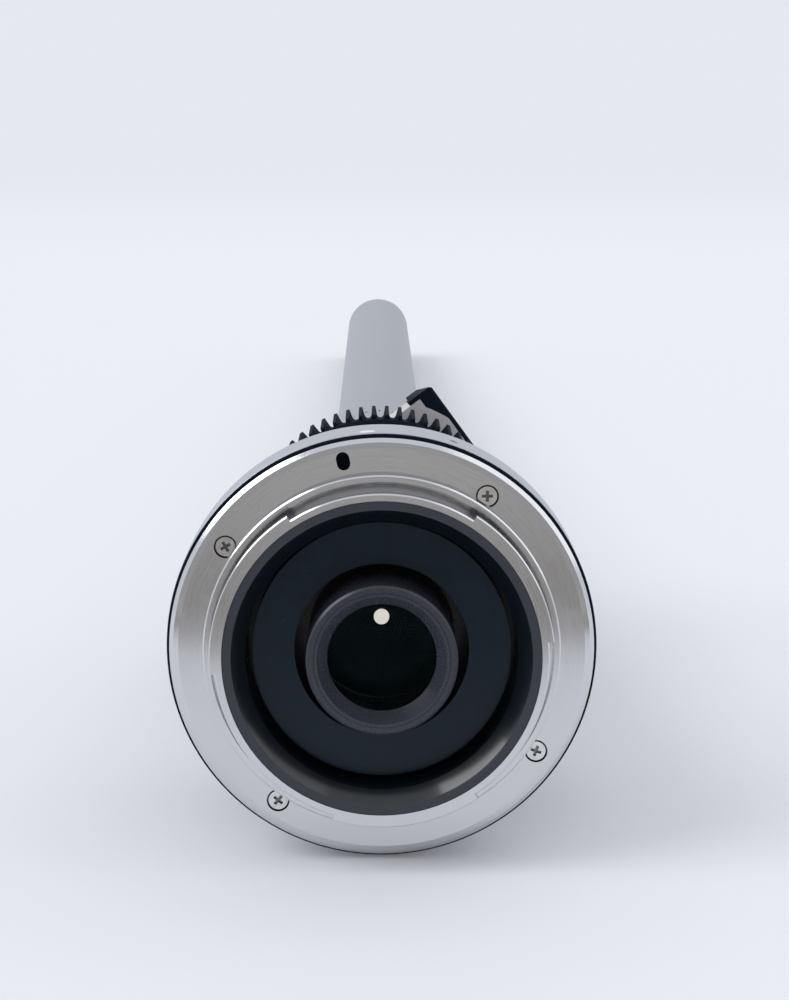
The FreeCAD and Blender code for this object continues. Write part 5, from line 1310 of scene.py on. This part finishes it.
@dataclass
class Studio:
    """The pale sweep that the lens lies on, the soft lights and the camera, in metres.

    The lens touches the sweep at its rear barrel and its tip, each given by a station and a
    radius in mm. Each span is where one tone fades into another.
    """

    camera_spot: Triple = (-0.00081, -0.33286, 0.07416)
    camera_way: Triple = (0.00753, 0.9873, -0.15871)
    focal_length: float = 90.0
    long_side: float = 36.0
    view_depth: float = 50.0
    rear_contact: Span = (7.0, 29.47)
    tip_contact: Span = (482.0, 9.52)
    floor_half: float = 4.0
    backdrop: Colour = (0.787, 0.812, 0.868)
    sweep: Colour = (0.825, 0.845, 0.893)
    sweep_tones: Span = (0.985, 1.0)
    sweep_noise: Noise = Noise(900.0, 2.0)
    overhead: Colour = (0.80, 0.805, 0.815)
    shade: Colour = (0.42, 0.415, 0.42)
    gloom: Colour = (0.30, 0.285, 0.27)
    far_floor: Colour = (0.52, 0.51, 0.50)
    haze: float = 0.14
    fade_centre: Triple = (0.0, 0.15, 0.0)
    fade_span: Span = (0.5, 1.2)
    far_span: Span = (-0.42, -0.28)
    gloom_span: Span = (-0.21, -0.14)
    ahead_span: Span = (-0.55, 0.0)
    ceiling_span: Span = (0.60, 0.82)
    lamps: tuple[SoftLamp, ...] = (
        SoftLamp("key", (-0.72, -0.24, 0.65), spread=38.0, strength=1.15),
        SoftLamp("fill", (0.75, 0.15, 0.65), spread=60.0, strength=0.40))

    def build(self) -> None:
        """Make the camera, the floor, the world and the lamps."""
        self.camera()
        self.floor()
        self.world()
        for lamp in self.lamps:
            lamp.build()

    def camera(self) -> None:
        """The camera at the photograph's viewing angle."""
        data = bpy.data.cameras.new("camera")
        data.lens = self.focal_length
        data.sensor_width = self.long_side
        data.sensor_fit = "AUTO"
        data.clip_end = self.view_depth
        camera = placed("camera", data)
        camera.location = self.camera_spot
        camera.rotation_euler = Vector(self.camera_way).to_track_quat("-Z", "Y").to_euler()
        bpy.context.scene.camera = camera

    def floor(self) -> None:
        """A wide floor under the rear barrel and the tip, which fades into the backdrop."""
        floor = placed("floor", self.floor_plane())
        floor.data.materials.append(self.floor_material())

    def floor_plane(self) -> Any:
        """The plane that the lens touches at both contacts.

        Returns:
            The mesh.
        """
        form = bmesh.new()
        (rear, low), (tip, high) = self.rear_contact, self.tip_contact
        slope = (low - high) / (tip - rear)
        half = self.floor_half
        form.faces.new([form.verts.new((x, y, (-low - slope * rear) * MM + slope * y))
                        for x, y in ((-half, -half), (half, -half), (half, half), (-half, half))])
        return mesh_from("floor", form)

    def floor_material(self) -> Any:
        """The floor's material.

        It fades into the backdrop with distance, and a little for the camera, for mirrors and
        through glass. Bright metal sees a dimmer floor behind the mount.

        Returns:
            The material.
        """
        shader = Shader("sweep")
        grain = shader.noise(shader.place(), self.sweep_noise)
        shader.set(Base_Color=shader.blend(grain, *shades(self.sweep, *self.sweep_tones)),
                   Roughness=0.75)
        centred = shader.node("ShaderNodeVectorMath", {"operation": "SUBTRACT"},
                              {0: shader.place(), 1: self.fade_centre})
        glossy = shader.ray(Ray.GLOSSY)
        seen = shader.ray(Ray.CAMERA) + glossy + shader.ray(Ray.THROUGH)
        far = shader.length(centred).step(*self.fade_span).most(seen * self.haze)
        faded = shader.mixed(far, shader.plain, shader.glow(self.backdrop))
        _, along, _ = shader.split(shader.place())
        depth = shader.blend(along.step(*self.far_span), self.far_floor, self.gloom)
        mirrored = glossy * (1 - along.step(*self.gloom_span))
        shader.show(shader.mixed(mirrored, faded, shader.glow(depth)))
        return shader.material

    def world(self) -> None:
        """A pale backdrop and a bright ceiling, and a dimmer room behind the camera."""
        world = bpy.data.worlds.new("room")
        bpy.context.scene.world = world
        world.use_nodes = True
        room = Graph(world.node_tree)
        shade, overhead, backdrop = (room.node("ShaderNodeBackground", inputs={"Color": colour})
                                     for colour in (self.shade, self.overhead, self.backdrop))
        _, ahead, up = room.split(room.node("ShaderNodeTexCoord", output="Generated"))
        open_sky = ahead.step(*self.ahead_span).most(up.step(*self.ceiling_span))
        sharp = room.ray(Ray.GLOSSY).most(room.ray(Ray.THROUGH))
        around = room.mixed(sharp, room.mixed(open_sky, shade, overhead),
                            room.mixed(open_sky, shade, backdrop))
        seen = room.mixed(room.ray(Ray.CAMERA), around, backdrop)
        room.add("ShaderNodeOutputWorld", inputs={"Surface": seen})


def main() -> None:
    """Build the studio and dress the lens, from the mount to the tip."""
    logging.basicConfig(level=logging.INFO, format="%(name)s: %(message)s")
    for part in (Studio(), Mount(), RearOptics(), ApertureRing(), MainBarrel(), FocusRing(),
                 ProbeTube(), ControlBox(), Tip()):
        part.build()
        LOG.info("%s is done", type(part).__name__)
    bpy.context.scene.view_settings.view_transform = "Standard"


if __name__ == "__main__":
    main()
